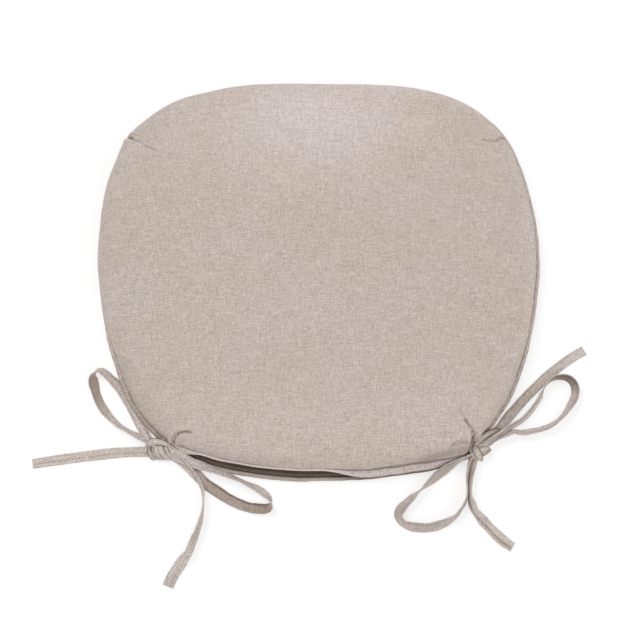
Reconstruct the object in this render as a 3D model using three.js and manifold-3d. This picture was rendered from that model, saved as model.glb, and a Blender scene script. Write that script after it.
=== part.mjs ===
// Seat cushion with tie straps: a boxless, rounded-trapezoid chair pad in natural linen.
// Millimetres, +Z up. The origin is on the resting plane, at the centre of the cover's plan.
// -Y is the edge with the zip opening and the ties, +Y the front edge of the seat.
// Left is -X and right is +X. Each mesh is one sewn or moulded piece, with a small clearance.
import * as THREE from "three";
import { mergeVertices } from "three/addons/utils/BufferGeometryUtils.js";
import Module from "manifold-3d";

// ---------------------------------------------------------------- driving dimensions
const SHELL = 0.9; // top panel cloth with its interlining
const CLEAR = 1.2; // between the soft layers
const WADDING = 1.6; // polyester wadding over the foam
const ZIP_RADIUS = 360; // plan radius of the zip's arc
const ZIP_CENTRE = [0, 178]; // plan centre of that arc
// Angles on the zip's arc: 0 points at -Y, positive towards +X.
const MOUTH_DEG = [-18.4, 18.0]; // ends of the opening's flap and lip
const MOUTH_FADE_DEG = [0.6, 2.2]; // the mouth's sections fade out this far beyond those ends
const TIE_X = 133; // where each tie leaves the seam, on the outline

// Half of the plan outline [x, y], from the front centre round +X to the opening's centre.
const HALF_OUTLINE = [
  [0, 186.3], [20.5, 186.3], [41, 185.9], [61.6, 184.7], [82, 182.4],
  [104.4, 177.3], [126.6, 169.7], [147.3, 158.6], [165, 143.4], [178.4, 125],
  [187.3, 102.5], [194, 79.3], [198, 56.1], [199.7, 33.5], [199.4, 10.4],
  [197.3, -12.1], [194.1, -33.9], [189.8, -55.1], [184.2, -76], [177.3, -96.3],
  [169.1, -116.3], [157.6, -135], [140.9, -153.4], [120.5, -168.2],
  [94.4, -179.7], [72, -185.7], [44.6, -189.5], [17.7, -191.3], [0, -191.6],
];
const FINE = 1536; // fine points round the outline
const AROUND = 64; // stations round the outline, shared by every piece that follows it

// ---------------------------------------------------------------- materials
const cloth = (color) => new THREE.MeshStandardMaterial({ color, roughness: 0.95, metalness: 0 });
const LINEN = 0xc3b6ae;
const LINEN_DARK = 0xb3a69d;
const WADDING_WHITE = 0xe9e6df;
const CORD_COTTON = 0xe4ddd0;
const STRAP_LINEN = 0xc8bbb1;
const FOAM = new THREE.MeshStandardMaterial({ color: 0xeeeadf, roughness: 1, metalness: 0 });
const TAPE = cloth(0xb9aa9c);
const COIL = new THREE.MeshStandardMaterial({ color: 0xcfc4b4, roughness: 0.5, metalness: 0 });
const BRASS = new THREE.MeshStandardMaterial({ color: 0xb08d4f, roughness: 0.4, metalness: 0.9 });

// ---------------------------------------------------------------- helpers
const { lerp, clamp, smoothstep, degToRad, radToDeg } = THREE.MathUtils;
const MERGE = 1e-4; // vertices closer than this become one

const group = new THREE.Group();
function add(name, geometry, material, parent = group) {
  const mesh = new THREE.Mesh(geometry, material);
  mesh.name = name;
  parent.add(mesh);
}

// The faces of a closed geometry, without collapsed ones, turned outwards.
function outwardFaces(geometry) {
  const position = geometry.getAttribute("position");
  const old = geometry.index.array;
  const faces = [];
  let volume = 0;
  for (let i = 0; i < old.length; i += 3) {
    const face = [old[i], old[i + 1], old[i + 2]];
    if (new Set(face).size < 3) continue;
    faces.push(...face);
    const [a, b, c] = face.map((at) => new THREE.Vector3().fromBufferAttribute(position, at));
    volume += a.dot(b.cross(c));
  }
  if (volume < 0) {
    for (let i = 0; i < faces.length; i += 3) {
      [faces[i], faces[i + 1]] = [faces[i + 1], faces[i]];
    }
  }
  return faces;
}

// Gives a geometry new vertex places and turns its faces outwards.
function mapped(geometry, place) {
  const source = geometry.index ? geometry : mergeVertices(geometry);
  source.deleteAttribute("normal");
  source.deleteAttribute("uv");
  const position = source.getAttribute("position");
  for (let i = 0; i < position.count; i++) {
    position.setXYZ(i, ...place(position.getX(i), position.getY(i), position.getZ(i)));
  }
  const merged = mergeVertices(source, MERGE);
  merged.setIndex(outwardFaces(merged));
  merged.computeVertexNormals();
  return merged;
}

const vectors = (points) => points.map(([x, y]) => new THREE.Vector2(x, y));
const shapeOf = (points) => new THREE.Shape(vectors(points));
const circle = (centreX, centreY, radius, sides) =>
  Array.from({ length: sides }, (_, i) => {
    const angle = (2 * Math.PI * i) / sides;
    return [centreX + radius * Math.cos(angle), centreY + radius * Math.sin(angle)];
  });
const rectangle = (x, y) => [[-x, -y], [x, -y], [x, y], [-x, y]]; // from its half sizes

// A closed section carried through steps: place(x, y, t) puts each section point, t from 0 to 1.
function swept(shape, steps, place) {
  const options = { depth: 1, steps, bevelEnabled: false, curveSegments: 4 };
  return mapped(new THREE.ExtrudeGeometry(shape, options), place);
}
// The same with one section at each entry of a list: place(x, y, entry).
function sweptThrough(shape, list, place) {
  const steps = list.length - 1;
  return swept(shape, steps, (x, y, t) => place(x, y, list[Math.round(t * steps)]));
}

// ---------------------------------------------------------------- plan outline
// Places on the outline are in turns: 0 at the opening's centre, counter-clockwise.
const control = [
  ...HALF_OUTLINE.slice().reverse(),
  ...HALF_OUTLINE.slice(1, -1).map(([x, y]) => [-x, y]),
].map(([x, y]) => new THREE.Vector3(x, y, 0));
const fine = new THREE.CatmullRomCurve3(control, true, "centripetal").getSpacedPoints(FINE);

// A point of the outline with its inward normal and its tangent.
function outline(turn) {
  const SPREAD = 6; // fine points to each side that set the tangent
  const along = (((turn % 1) + 1) % 1) * FINE;
  const i = Math.floor(along) % FINE;
  const part = along - Math.floor(along);
  const here = fine[i];
  const next = fine[(i + 1) % FINE];
  const before = fine[(i - SPREAD + FINE) % FINE];
  const after = fine[(i + 1 + SPREAD) % FINE];
  const tangent = new THREE.Vector2(after.x - before.x, after.y - before.y).normalize();
  return {
    x: lerp(here.x, next.x, part),
    y: lerp(here.y, next.y, part),
    normal: [-tangent.y, tangent.x],
    tangent: [tangent.x, tangent.y],
  };
}

// A point inwards from the outline. Between stations it lies on the straight facet,
// so neighbouring pieces share facets.
function inward(turn, distance) {
  const along = turn * AROUND;
  const i = Math.floor(along + 1e-9);
  const part = Math.max(0, along - i);
  const here = outline(i / AROUND);
  const next = outline((i + 1) / AROUND);
  return [
    lerp(here.x + here.normal[0] * distance, next.x + next.normal[0] * distance, part),
    lerp(here.y + here.normal[1] * distance, next.y + next.normal[1] * distance, part),
  ];
}

// The stations from one place to another, with the ends and any finer division between.
function stationsBetween(from, to, parts = 1) {
  const END_GAP = 0.15; // stations nearer to an end than this share of a step are left out
  const perTurn = AROUND * parts;
  const list = [from];
  for (let k = Math.ceil(from * perTurn + END_GAP); k <= to * perTurn - END_GAP; k++) {
    list.push(k / perTurn);
  }
  list.push(to);
  return list;
}

// The place, among fine points first to last, where miss(point) is smallest.
function nearestTurn(first, last, miss) {
  const missAt = (i) => miss(fine[(i + FINE) % FINE]);
  let best = first;
  for (let i = first + 1; i <= last; i++) {
    if (missAt(i) < missAt(best)) best = i;
  }
  return best / FINE;
}
const zipAngle = ({ x, y }) => radToDeg(Math.atan2(x - ZIP_CENTRE[0], ZIP_CENTRE[1] - y));
const turnAtAngle = (deg) => nearestTurn(-300, 300, (point) => Math.abs(zipAngle(point) - deg));
const tieTurn = nearestTurn(0, 399, (point) => Math.abs(point.x - TIE_X));

// 1 in the mouth of the opening, 0 round the piped sides.
function mouth(turn) {
  const NEAR_EDGE_Y = -120; // the mouth lies wholly below this y
  const point = outline(turn);
  if (point.y >= NEAR_EDGE_Y) return 0;
  const deg = zipAngle(point);
  const [start, end] = MOUTH_DEG;
  const [near, far] = MOUTH_FADE_DEG;
  return smoothstep(deg, start - far, start - near) * (1 - smoothstep(deg, end + near, end + far));
}

// ---------------------------------------------------------------- closed soft bodies
// Cross-sections are lists of [inward distance from the outline, height].
const PANEL_SIDE = [[4.9, 6.7], [2.0, 11.0], [1.9, 16.4], [5.0, 21.4], [11.5, 25.7], [24, 28.4]];
const PANEL_MOUTH = [
  [9.0, 15.0], [10.2, 17.1], [12.0, 19.8], [14.2, 22.4], [18.0, 25.4], [26, 28.3],
];
const FOAM_BASE_Z = 1.2;
const FOAM_SIDE = [[6.9, 9.0], [11.2, 6.5], [12.2, 2.9], [16.5, FOAM_BASE_Z]];
const FOAM_MOUTH = [[20, 19], [20, 10], [20, 3], [22, FOAM_BASE_Z]];
const BOTTOM_T = 0.8; // bottom panel thickness
const BOTTOM_SIDE = {
  over: [[14, BOTTOM_T], [10.4, 1.5], [7.7, 2.95], [5.5, 4.55]],
  under: [[5.0, 3.75], [7.2, 2.15], [10.2, 0.7], [14, 0]],
};
const BOTTOM_MOUTH = {
  over: [[14, BOTTOM_T], [9, BOTTOM_T], [4.5, BOTTOM_T], [1.2, BOTTOM_T]],
  under: [[1.2, 0], [4.5, 0], [9, 0], [14, 0]],
};

const REACH = 34; // rings follow the outline up to this inward distance, then shrink to the centre
const CROWN_SCALES = [0, 0.5, 0.86]; // sizes of the inner rings against the ring at REACH
const CROWN_Z = 30.6; // top of the pad, at its centre
const CROWN_EDGE_Z = 28.95; // where the crown's curve would meet the ring at REACH

// Rings are { distance, z } near the rim and { scale, z } further in (scale 0 is the centre).
const rimRings = (section) => section.map(([distance, z]) => ({ distance, z }));
const crownRings = (drop) =>
  CROWN_SCALES.map((scale) => {
    const fall = scale * scale * (1.35 - 0.35 * scale);
    return { scale, z: lerp(CROWN_Z, CROWN_EDGE_Z, fall) - drop };
  });

// Revolves a section that depends on the place round the outline.
// ringsAt(turn) returns the same number of rings at every turn, from centre to centre.
function padSolid(ringsAt) {
  const stations = Array.from({ length: AROUND }, (_, k) => ringsAt(k / AROUND));
  const last = stations[0].length - 1;
  const profile = stations[0].map((_, i) => new THREE.Vector2(i === 0 || i === last ? 0 : 1, i));
  return mapped(new THREE.LatheGeometry(profile, AROUND), (x, y, z) => {
    const step = Math.round((Math.atan2(x, z) / (2 * Math.PI)) * AROUND);
    const k = (step + AROUND) % AROUND;
    const ring = stations[k][Math.round(y)];
    if (ring.distance !== undefined) return [...inward(k / AROUND, ring.distance), ring.z];
    const [reachX, reachY] = inward(k / AROUND, REACH);
    return [reachX * ring.scale, reachY * ring.scale, ring.z];
  });
}

const blend = (from, to, share) =>
  from.map((point, i) => [lerp(point[0], to[i][0], share), lerp(point[1], to[i][1], share)]);
const panelSection = (turn) => blend(PANEL_SIDE, PANEL_MOUTH, mouth(turn));

// Moves a section's points along its own inward normal.
function offset(points, by) {
  return points.map((point, i) => {
    const before = points[Math.max(0, i - 1)];
    const after = points[Math.min(points.length - 1, i + 1)];
    const across = after[0] - before[0];
    const rise = after[1] - before[1];
    const length = Math.hypot(across, rise);
    return [point[0] + (by * rise) / length, point[1] - (by * across) / length];
  });
}

// A domed layer, open below: outer and inner sections with their drops below the crown.
const domedLayer = (outer, outerDrop, inner, innerDrop) => [
  ...crownRings(outerDrop),
  ...rimRings(outer).reverse(),
  ...rimRings(inner),
  ...crownRings(innerDrop).reverse(),
];

// One cloth shell, open below, whose rim rises over the zip opening.
function topPanel() {
  return padSolid((turn) => {
    const outer = panelSection(turn);
    const inner = offset(outer, SHELL);
    inner[0] = [outer[0][0] + SHELL, outer[0][1]]; // keeps the rim's edge level
    return domedLayer(outer, 0, inner, SHELL);
  });
}

// A soft dome between the top panel and the foam, without the panel's lowest point.
const WADDING_OVER = SHELL + CLEAR;
const WADDING_UNDER = WADDING_OVER + WADDING;
function waddingLayer() {
  return padSolid((turn) => {
    const base = panelSection(turn);
    const outer = offset(base, WADDING_OVER).slice(1);
    const inner = offset(base, WADDING_UNDER).slice(1);
    return domedLayer(outer, WADDING_OVER, inner, WADDING_UNDER);
  });
}

// The load-bearing pad.
function foamCore() {
  const drop = WADDING_UNDER + CLEAR;
  return padSolid((turn) => [
    ...crownRings(drop),
    ...rimRings(offset(panelSection(turn), drop).slice(2)).reverse(),
    ...rimRings(blend(FOAM_SIDE, FOAM_MOUTH, mouth(turn))),
    { scale: 0, z: FOAM_BASE_Z },
  ]);
}

// Flat on the resting plane, its rim rising to the piping.
function bottomPanel() {
  return padSolid((turn) => [
    { scale: 0, z: BOTTOM_T },
    ...rimRings(blend(BOTTOM_SIDE.over, BOTTOM_MOUTH.over, mouth(turn))),
    ...rimRings(blend(BOTTOM_SIDE.under, BOTTOM_MOUTH.under, mouth(turn))),
    { scale: 0, z: 0 },
  ]);
}

add("top_panel", topPanel(), cloth(LINEN));
add("wadding_layer", waddingLayer(), cloth(WADDING_WHITE));
add("foam_core", foamCore(), FOAM);
add("bottom_panel", bottomPanel(), cloth(LINEN_DARK));

// ---------------------------------------------------------------- piping round three sides
const PIPING_R = 2.3; // outside radius
const PIPING_Z = 5.5; // height of the piping's centre
const CORD_R = 1.05; // cotton cord inside the piping
const CORD_HOLE_R = 1.4;
const ALLOWANCE = { from: 2.1, to: 7.6, half: 0.6 }; // flat inward tail of both seam allowances
const PIPING_START = tieTurn + 0.0052; // turns, just past the tie
const CORD_INSET = 0.001; // turns, the cord stops short of the sleeve's ends

function alongPiping(shape, start) {
  return sweptThrough(shape, stationsBetween(start, 1 - start), (x, y, turn) => [
    ...inward(turn, PIPING_R + x),
    PIPING_Z + y,
  ]);
}

// A tube whose innermost corner gives way to the tail.
function pipingSleeve() {
  const { from, to, half } = ALLOWANCE;
  const tail = [[from, -half], [to, -half], [to, half], [from, half]];
  const shape = shapeOf([...circle(0, 0, PIPING_R, 10).slice(1), ...tail]);
  shape.holes.push(new THREE.Path(vectors(circle(0, 0, CORD_HOLE_R, 6))));
  return alongPiping(shape, PIPING_START);
}

add("piping_sleeve", pipingSleeve(), cloth(LINEN));
const cordShape = shapeOf(circle(0, 0, CORD_R, 5));
add("piping_cord", alongPiping(cordShape, PIPING_START + CORD_INSET), cloth(CORD_COTTON));

// ---------------------------------------------------------------- flap and lip of the opening
// Sections as [inward distance, height]; the flap's two have matching points.
const FLAP_OPEN = [
  [6.9, 11.6], [7.6, 15.2], [9.4, 18.4], [11.2, 20.9],
  [11.9, 20.3], [10.4, 18.0], [8.6, 14.8], [8.0, 11.6],
];
const FLAP_CLOSED = [
  [0.6, 4.0], [1.7, 8.8], [4.7, 14.4], [11.2, 20.9],
  [11.9, 20.3], [5.8, 13.8], [2.9, 8.4], [1.8, 4.0],
];
const CLOSED_DEG = [7.6, 10.4]; // the flap comes down to the lip between these
const LIP = [[0.0, 1.5], [0.6, 1.1], [12, 1.1], [12, 2.9], [0.7, 2.9], [0.0, 2.4]];
const mouthStations = stationsBetween(turnAtAngle(MOUTH_DEG[0]), turnAtAngle(MOUTH_DEG[1]), 2);

// A unit circle is swept; each of its corners stands for one point of the flap's section.
function placketFlap() {
  const corners = circle(0, 0, 1, FLAP_OPEN.length);
  return sweptThrough(shapeOf(corners), mouthStations, (x, y, turn) => {
    const i = corners.findIndex((corner) => Math.hypot(corner[0] - x, corner[1] - y) < 1e-3);
    const closed = smoothstep(zipAngle(outline(turn)), ...CLOSED_DEG);
    const [distance, z] = blend(FLAP_OPEN, FLAP_CLOSED, closed)[i];
    return [...inward(turn, distance), z];
  });
}

const placketLip = () =>
  sweptThrough(shapeOf(LIP), mouthStations, (x, y, turn) => [...inward(turn, x), y]);

add("placket_flap", placketFlap(), cloth(LINEN));
add("placket_lip", placketLip(), cloth(LINEN));

// ---------------------------------------------------------------- zip tapes, coils and stops
const ZIP_Z = 7.4; // middle height of the zip
const ZIP_STEPS = 34;
const TAPE_DEG = [-18.2, 17.2];
// Tape sections as [outward distance from the arc, height].
const TAPE_LOWER = [[-8, 3.3], [-0.4, 3.3], [-0.4, 6.9], [-1.0, 6.9], [-1.0, 3.9], [-8, 3.9]];
const TAPE_UPPER = [[-8, 10.6], [-1.0, 10.6], [-1.0, 7.9], [-0.4, 7.9], [-0.4, 11.2], [-8, 11.2]];
const CHAIN_DEG = [-17.8, 16.0]; // ends of the coils
const COIL_SIZE = { out: 0.55, fromMiddle: 1.1, radius: 0.65 };
const STOP_SIZE = { out: 1.5, along: 1.8, up: 3.6 };
const STOP_OUT = 0.6; // stop's centre, outwards from the arc
const STOP_BEYOND_DEG = 0.22; // stop's centre, past the end of the coils

// A point at an angle on the zip's arc, moved outwards and then along the arc.
function onArc(deg, out, z, along = 0) {
  const radius = ZIP_RADIUS + out;
  const angle = degToRad(deg) + along / radius;
  return [ZIP_CENTRE[0] + radius * Math.sin(angle), ZIP_CENTRE[1] - radius * Math.cos(angle), z];
}
const arcSweep = (points, [from, to]) =>
  swept(shapeOf(points), ZIP_STEPS, (x, y, t) => onArc(lerp(from, to, t), x, y));

function zipCoil(side) {
  const { out, fromMiddle, radius } = COIL_SIZE;
  return arcSweep(circle(out, ZIP_Z + side * fromMiddle, radius, 6), CHAIN_DEG);
}

function zipStop(deg) {
  const { out, along, up } = STOP_SIZE;
  return mapped(new THREE.BoxGeometry(1, 1, 1), (x, y, z) =>
    onArc(deg, STOP_OUT + out * x, ZIP_Z + up * z, along * y));
}

add("zip_tape_lower", arcSweep(TAPE_LOWER, TAPE_DEG), TAPE);
add("zip_tape_upper", arcSweep(TAPE_UPPER, TAPE_DEG), TAPE);
add("zip_coil_lower", zipCoil(-1), COIL);
add("zip_coil_upper", zipCoil(1), COIL);
add("zip_stop_right", zipStop(CHAIN_DEG[1] + STOP_BEYOND_DEG), BRASS);
add("zip_stop_left", zipStop(CHAIN_DEG[0] - STOP_BEYOND_DEG), BRASS);

// ---------------------------------------------------------------- zip slider and pull tab
// Local axes: x along the arc (towards +X), y inwards, z up. "out" ranges run towards -y.
const SLIDER_DEG = 15.0; // rest place of the slider on the arc, at the closed end
// Profiles as [x, z].
const SHIELD = [
  [-4.4, 5.4], [-3.4, 4.7], [2.6, 4.7], [4.4, 5.9],
  [4.4, 8.9], [2.6, 10.1], [-3.4, 10.1], [-4.4, 9.4],
];
const TAB = [[-14.2, 6.0], [-13.6, 5.3], [0.45, 5.3], [0.45, 9.5], [-13.6, 9.5], [-14.2, 8.8]];
const TAB_WINDOW = [[-3.2, 6.3], [-0.45, 6.3], [-0.45, 8.5], [-3.2, 8.5]];
const BRIDGE_UP = [6.9, 7.9];

const wasm = await Module();
wasm.setup();

function solidOf(geometry) {
  geometry.deleteAttribute("normal");
  geometry.deleteAttribute("uv");
  const merged = mergeVertices(geometry, MERGE);
  return new wasm.Manifold(new wasm.Mesh({
    numProp: 3,
    vertProperties: new Float32Array(merged.getAttribute("position").array),
    triVerts: new Uint32Array(merged.index.array),
  }));
}
function geometryOf(solid) {
  const mesh = solid.getMesh();
  const geometry = new THREE.BufferGeometry();
  const places = new Float32Array(mesh.vertProperties);
  geometry.setAttribute("position", new THREE.BufferAttribute(places, 3));
  geometry.setIndex(new THREE.BufferAttribute(new Uint32Array(mesh.triVerts), 1));
  geometry.computeVertexNormals();
  return geometry;
}

// A box from its ranges in local axes.
function block({ along, out, up }) {
  const size = [along, out, up].map(([from, to]) => to - from);
  const [x, y, z] = [along, out, up].map(([from, to]) => (from + to) / 2);
  return solidOf(new THREE.BoxGeometry(...size).translate(x, -y, z));
}
// A profile in x and z, extruded over an outward range.
function plate(points, [from, to]) {
  const options = { depth: to - from, bevelEnabled: false };
  const geometry = new THREE.ExtrudeGeometry(shapeOf(points), options);
  geometry.rotateX(Math.PI / 2); // the extrusion now runs towards -y
  geometry.translate(0, -from, 0);
  return solidOf(geometry);
}

// Two shields joined by a post, with a U-shaped bridge on the outer one.
function sliderBody() {
  return plate(SHIELD, [1.6, 2.4])
    .add(plate(SHIELD, [-2.3, -1.5]))
    .add(block({ along: [-0.4, 2.2], out: [-2.0, 2.0], up: [7.2, 7.6] }))
    .add(block({ along: [-2.3, -1.7], out: [2.2, 4.5], up: BRIDGE_UP }))
    .add(block({ along: [1.7, 2.3], out: [2.2, 4.5], up: BRIDGE_UP }))
    .add(block({ along: [-2.3, 2.3], out: [3.9, 4.5], up: BRIDGE_UP }));
}
// A flat tab whose window goes round the bridge's -x leg.
const pullTab = () => plate(TAB, [2.75, 3.5]).subtract(plate(TAB_WINDOW, [2, 4.3]));

const sliderFrame = new THREE.Group();
sliderFrame.position.set(...onArc(SLIDER_DEG, 0, 0));
sliderFrame.rotation.z = degToRad(SLIDER_DEG);
group.add(sliderFrame);
add("zip_slider_body", geometryOf(sliderBody()), BRASS, sliderFrame);
add("zip_pull_tab", geometryOf(pullTab()), BRASS, sliderFrame);

// ---------------------------------------------------------------- ties
const STRAP_T = 1.0; // folded tie strap thickness
const KNOT_OUT = 7.7; // knot centre, outwards from the outline
const KNOT_Z = 5.0;
const KNOT_HALF = [8.6, 6.4, 4.1]; // along the seam, outwards, up
const ROOT = { halfWidth: 3.2, z: 5.6, inward: [8.5, -1.0], widthScale: [0.8, 1] };
// How a strap's end is brought up to the knot.
const LEAD = {
  z: [1.6, 7.2], // height range
  clear: 1.0, // added to the knot's half sizes
  stopSize: 1.16, // the lead ends within this multiple of the enlarged knot
  step: 0.02, // step of the search, as a share of the way from the knot's centre
  least: 0.05, // the search ends at this share
  most: 0.96, // an end already nearer than this gets no lead
  width: 3.2,
};

// Strap centre lines: x, y, height, tilt of the width in degrees, width.
const STRAPS = {
  left: {
    loop_outer: { steps: 34, points: [
      [-147.0, -155.3, 6.4, 0, 4], [-151.6, -150.8, 5.4, -15, 6], [-164.2, -135.4, 4.4, -30, 9],
      [-173.6, -119.4, 4.2, -30, 9], [-179.2, -106.0, 3.8, -10, 9], [-183.2, -96.9, 3.8, 35, 9],
      [-189.2, -93.2, 5.0, 70, 9], [-194.2, -94.2, 5.2, 90, 9], [-196.5, -99.2, 5.2, 80, 9],
      [-196.4, -105.5, 4.9, 60, 9], [-194.4, -112.8, 3.9, 40, 9], [-190.0, -123.8, 2.4, 15, 9],
      [-183.8, -131.9, 1.6, 0, 9], [-174.4, -140.2, 1.5, 0, 8.5], [-164.1, -146.8, 1.5, 0, 8],
      [-154.0, -152.9, 1.6, 0, 6], [-147.2, -157.6, 2.2, 0, 4],
    ] },
    loop_inner: { steps: 40, points: [
      [-127.8, -171.6, 6.2, 0, 4], [-119.8, -175.8, 5.2, 0, 6], [-109.5, -180.4, 4.2, -10, 8],
      [-101.0, -184.6, 3.4, -15, 8.6], [-88.9, -188.5, 3.2, -15, 9], [-77.7, -192.4, 3.4, -30, 9],
      [-68.3, -196.0, 4.6, -60, 9], [-58.9, -198.5, 5.0, -70, 9], [-49.7, -201.2, 5.2, -80, 9],
      [-42.2, -205.4, 5.2, -88, 9], [-39.4, -210.2, 5.2, -90, 9], [-42.0, -215.3, 5.0, -75, 9],
      [-49.5, -218.1, 4.2, -45, 9], [-58.7, -217.9, 3.2, -20, 9], [-68.0, -214.8, 2.6, 0, 9],
      [-77.3, -209.8, 2.6, 0, 9], [-86.7, -203.9, 2.6, 0, 9], [-96.1, -197.4, 2.6, 0, 9],
      [-105.6, -190.4, 2.6, 0, 8], [-115.1, -182.6, 3.0, 0, 6], [-124.3, -175.8, 4.0, 0, 4],
    ] },
    tail_long: { steps: 12, points: [
      [-147.8, -166.6, 4.0, 0, 5], [-151.2, -165.6, 2.2, 0, 7], [-158.4, -165.2, 1.3, 0, 8.5],
      [-173.2, -165.8, 1.1, 0, 8.7], [-188.0, -167.8, 1.1, 0, 8.7], [-207.7, -169.8, 1.1, 0, 8.7],
      [-227.3, -173.4, 1.1, 0, 8.7], [-245.9, -175.4, 1.1, 0, 8.7],
    ] },
    tail_short: { steps: 20, points: [
      [-132.8, -173.9, 1.8, 0, 4], [-125.8, -180.4, 1.1, 0, 5], [-115.3, -187.4, 1.0, 0, 5],
      [-105.3, -193.1, 1.0, 0, 5], [-99.7, -198.3, 1.0, 0, 5.5], [-97.5, -204.4, 1.0, 0, 6],
      [-97.5, -212.0, 1.0, 0, 6.4], [-98.8, -219.7, 1.0, 0, 6.8], [-100.8, -227.4, 1.0, 0, 7.2],
      [-103.3, -235.0, 1.0, 0, 7.6], [-106.0, -242.6, 1.0, 0, 8], [-108.2, -250.3, 1.0, 0, 8.4],
      [-111.8, -256.9, 1.0, 0, 8.8], [-116.6, -264.1, 1.0, 0, 9], [-121.6, -272.8, 1.0, 0, 9],
      [-125.8, -280.3, 1.0, 0, 9],
    ] },
  },
  right: {
    loop_outer: { steps: 44, points: [
      [148.4, -163.4, 5.4, 0, 4], [154.8, -157.9, 5.0, 30, 5], [161.9, -151.9, 4.9, 60, 7],
      [169.5, -145.9, 5.0, 75, 9], [177.8, -139.4, 5.2, 85, 9], [185.8, -131.5, 5.2, 85, 9],
      [192.2, -124.3, 5.2, 85, 9], [196.9, -117.7, 5.2, 85, 9], [200.3, -111.8, 5.2, 85, 9],
      [204.4, -106.8, 5.2, 85, 9], [209.0, -103.2, 5.2, 85, 9], [214.7, -101.4, 5.2, 85, 9],
      [220.1, -102.4, 5.2, 85, 9], [224.1, -105.9, 5.2, 85, 9], [225.7, -111.0, 5.2, 85, 9],
      [223.6, -118.2, 5.2, 85, 9], [219.4, -124.7, 5.2, 85, 9], [214.4, -131.1, 5.2, 85, 9],
      [207.8, -137.6, 5.2, 85, 9], [199.7, -143.6, 5.2, 85, 9], [191.8, -147.7, 5.2, 85, 9],
      [183.9, -150.4, 5.1, 80, 9], [176.1, -153.0, 5.0, 75, 9], [168.4, -156.4, 4.4, 60, 8],
      [160.9, -160.3, 3.4, 30, 6], [154.8, -163.6, 2.6, 0, 5], [149.1, -167.2, 2.6, 0, 4],
    ] },
    loop_inner: { steps: 42, points: [
      [127.5, -175.9, 5.6, 0, 4], [119.9, -179.6, 4.2, 0, 6.5], [110.8, -184.9, 3.0, 0, 8.5],
      [101.9, -191.4, 3.0, 10, 9], [93.1, -197.9, 3.6, 35, 9], [86.1, -202.7, 4.8, 70, 9],
      [79.7, -207.3, 5.2, 85, 9], [72.7, -212.7, 5.2, 90, 9], [68.2, -217.7, 5.2, 90, 9],
      [67.7, -222.8, 5.2, 90, 9], [71.5, -228.5, 5.2, 90, 9], [79.1, -231.9, 5.2, 90, 9],
      [88.8, -232.9, 5.2, 90, 9], [98.6, -231.4, 5.2, 90, 9], [107.4, -228.0, 5.2, 90, 9],
      [115.3, -223.6, 5.2, 90, 9], [120.9, -217.7, 5.2, 90, 9], [124.1, -210.7, 5.2, 90, 9],
      [125.6, -203.7, 5.2, 90, 9], [126.0, -198.8, 5.1, 85, 8.6], [126.5, -193.6, 4.8, 70, 8],
      [127.6, -186.3, 4.0, 40, 6], [130.1, -179.3, 3.4, 0, 4],
    ] },
    tail_long: { steps: 16, points: [
      [145.9, -158.0, 4.4, 0, 5], [150.9, -153.0, 2.6, 0, 7], [156.9, -147.1, 1.3, 0, 8.6],
      [164.8, -138.9, 1.1, 0, 9], [172.4, -130.3, 1.1, 0, 9], [180.3, -120.8, 1.1, 0, 9],
      [187.8, -111.7, 1.1, 0, 9], [195.2, -103.1, 1.1, 0, 9], [203.1, -94.9, 1.1, 0, 8.8],
      [211.2, -87.4, 1.1, 0, 8.6], [219.4, -81.6, 1.1, 0, 8.4], [227.6, -76.6, 1.1, 0, 8.2],
      [234.6, -72.9, 1.1, 0, 8],
    ] },
    tail_short: { steps: 18, points: [
      [136.3, -176.6, 1.8, 0, 4], [135.4, -182.6, 1.1, 0, 5], [134.8, -188.7, 1.0, 0, 5.5],
      [134.2, -195.3, 1.0, 0, 6], [134.0, -202.2, 1.0, 0, 6.6], [134.1, -208.8, 1.0, 0, 7.2],
      [135.1, -215.7, 1.0, 0, 8], [137.6, -222.7, 1.0, 0, 8.4], [141.6, -229.6, 1.0, 0, 8.6],
      [146.9, -235.1, 1.0, 0, 8.6], [153.0, -240.3, 1.0, 0, 8.4], [158.6, -244.3, 1.0, 0, 8],
      [163.3, -247.2, 1.0, 0, 7.6],
    ] },
  },
};

// A plan point, moved along the seam and outwards.
const fromSeam = ({ tangent, normal }, [x, y], along, out) => [
  x + tangent[0] * along - normal[0] * out,
  y + tangent[1] * along - normal[1] * out,
];
// Size measure whose unit surface is a slightly squared ball.
const cubicNorm = (...values) =>
  Math.pow(values.reduce((sum, value) => sum + Math.pow(Math.abs(value), 3), 0), 1 / 3);

// The strap where it leaves the seam, in the gap between the piping's end and the opening.
function tieRoot(seam) {
  const section = shapeOf(rectangle(ROOT.halfWidth, STRAP_T / 2));
  return swept(section, 4, (x, y, t) => [
    ...fromSeam(seam, [seam.x, seam.y], x * lerp(...ROOT.widthScale, t), -lerp(...ROOT.inward, t)),
    ROOT.z + y,
  ]);
}

// A slightly squared lump.
function knot(seam, centre) {
  return mapped(new THREE.SphereGeometry(1, 16, 10), (x, y, z) => {
    const size = cubicNorm(x, y, z);
    const [along, out, up] = [x, y, z].map((value, i) => (value / size) * KNOT_HALF[i]);
    return [...fromSeam(seam, centre, along, out), KNOT_Z + up];
  });
}

// An extra strap point at the knot's surface, or none where the strap is already there.
function knotLead([x, y, z], seam, centre) {
  const toX = x - centre[0];
  const toY = y - centre[1];
  const height = clamp(z, ...LEAD.z);
  const along = toX * seam.tangent[0] + toY * seam.tangent[1];
  const out = -toX * seam.normal[0] - toY * seam.normal[1];
  const [halfAlong, halfOut, halfUp] = KNOT_HALF.map((half) => half + LEAD.clear);
  const sizeAt = (share) => cubicNorm(
    (along * share) / halfAlong,
    (out * share) / halfOut,
    (height - KNOT_Z) / halfUp,
  );
  let share = 1;
  while (share > LEAD.least && sizeAt(share) > LEAD.stopSize) share -= LEAD.step;
  if (share >= LEAD.most) return [];
  return [[centre[0] + toX * share, centre[1] + toY * share, height, 0, LEAD.width]];
}

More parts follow.
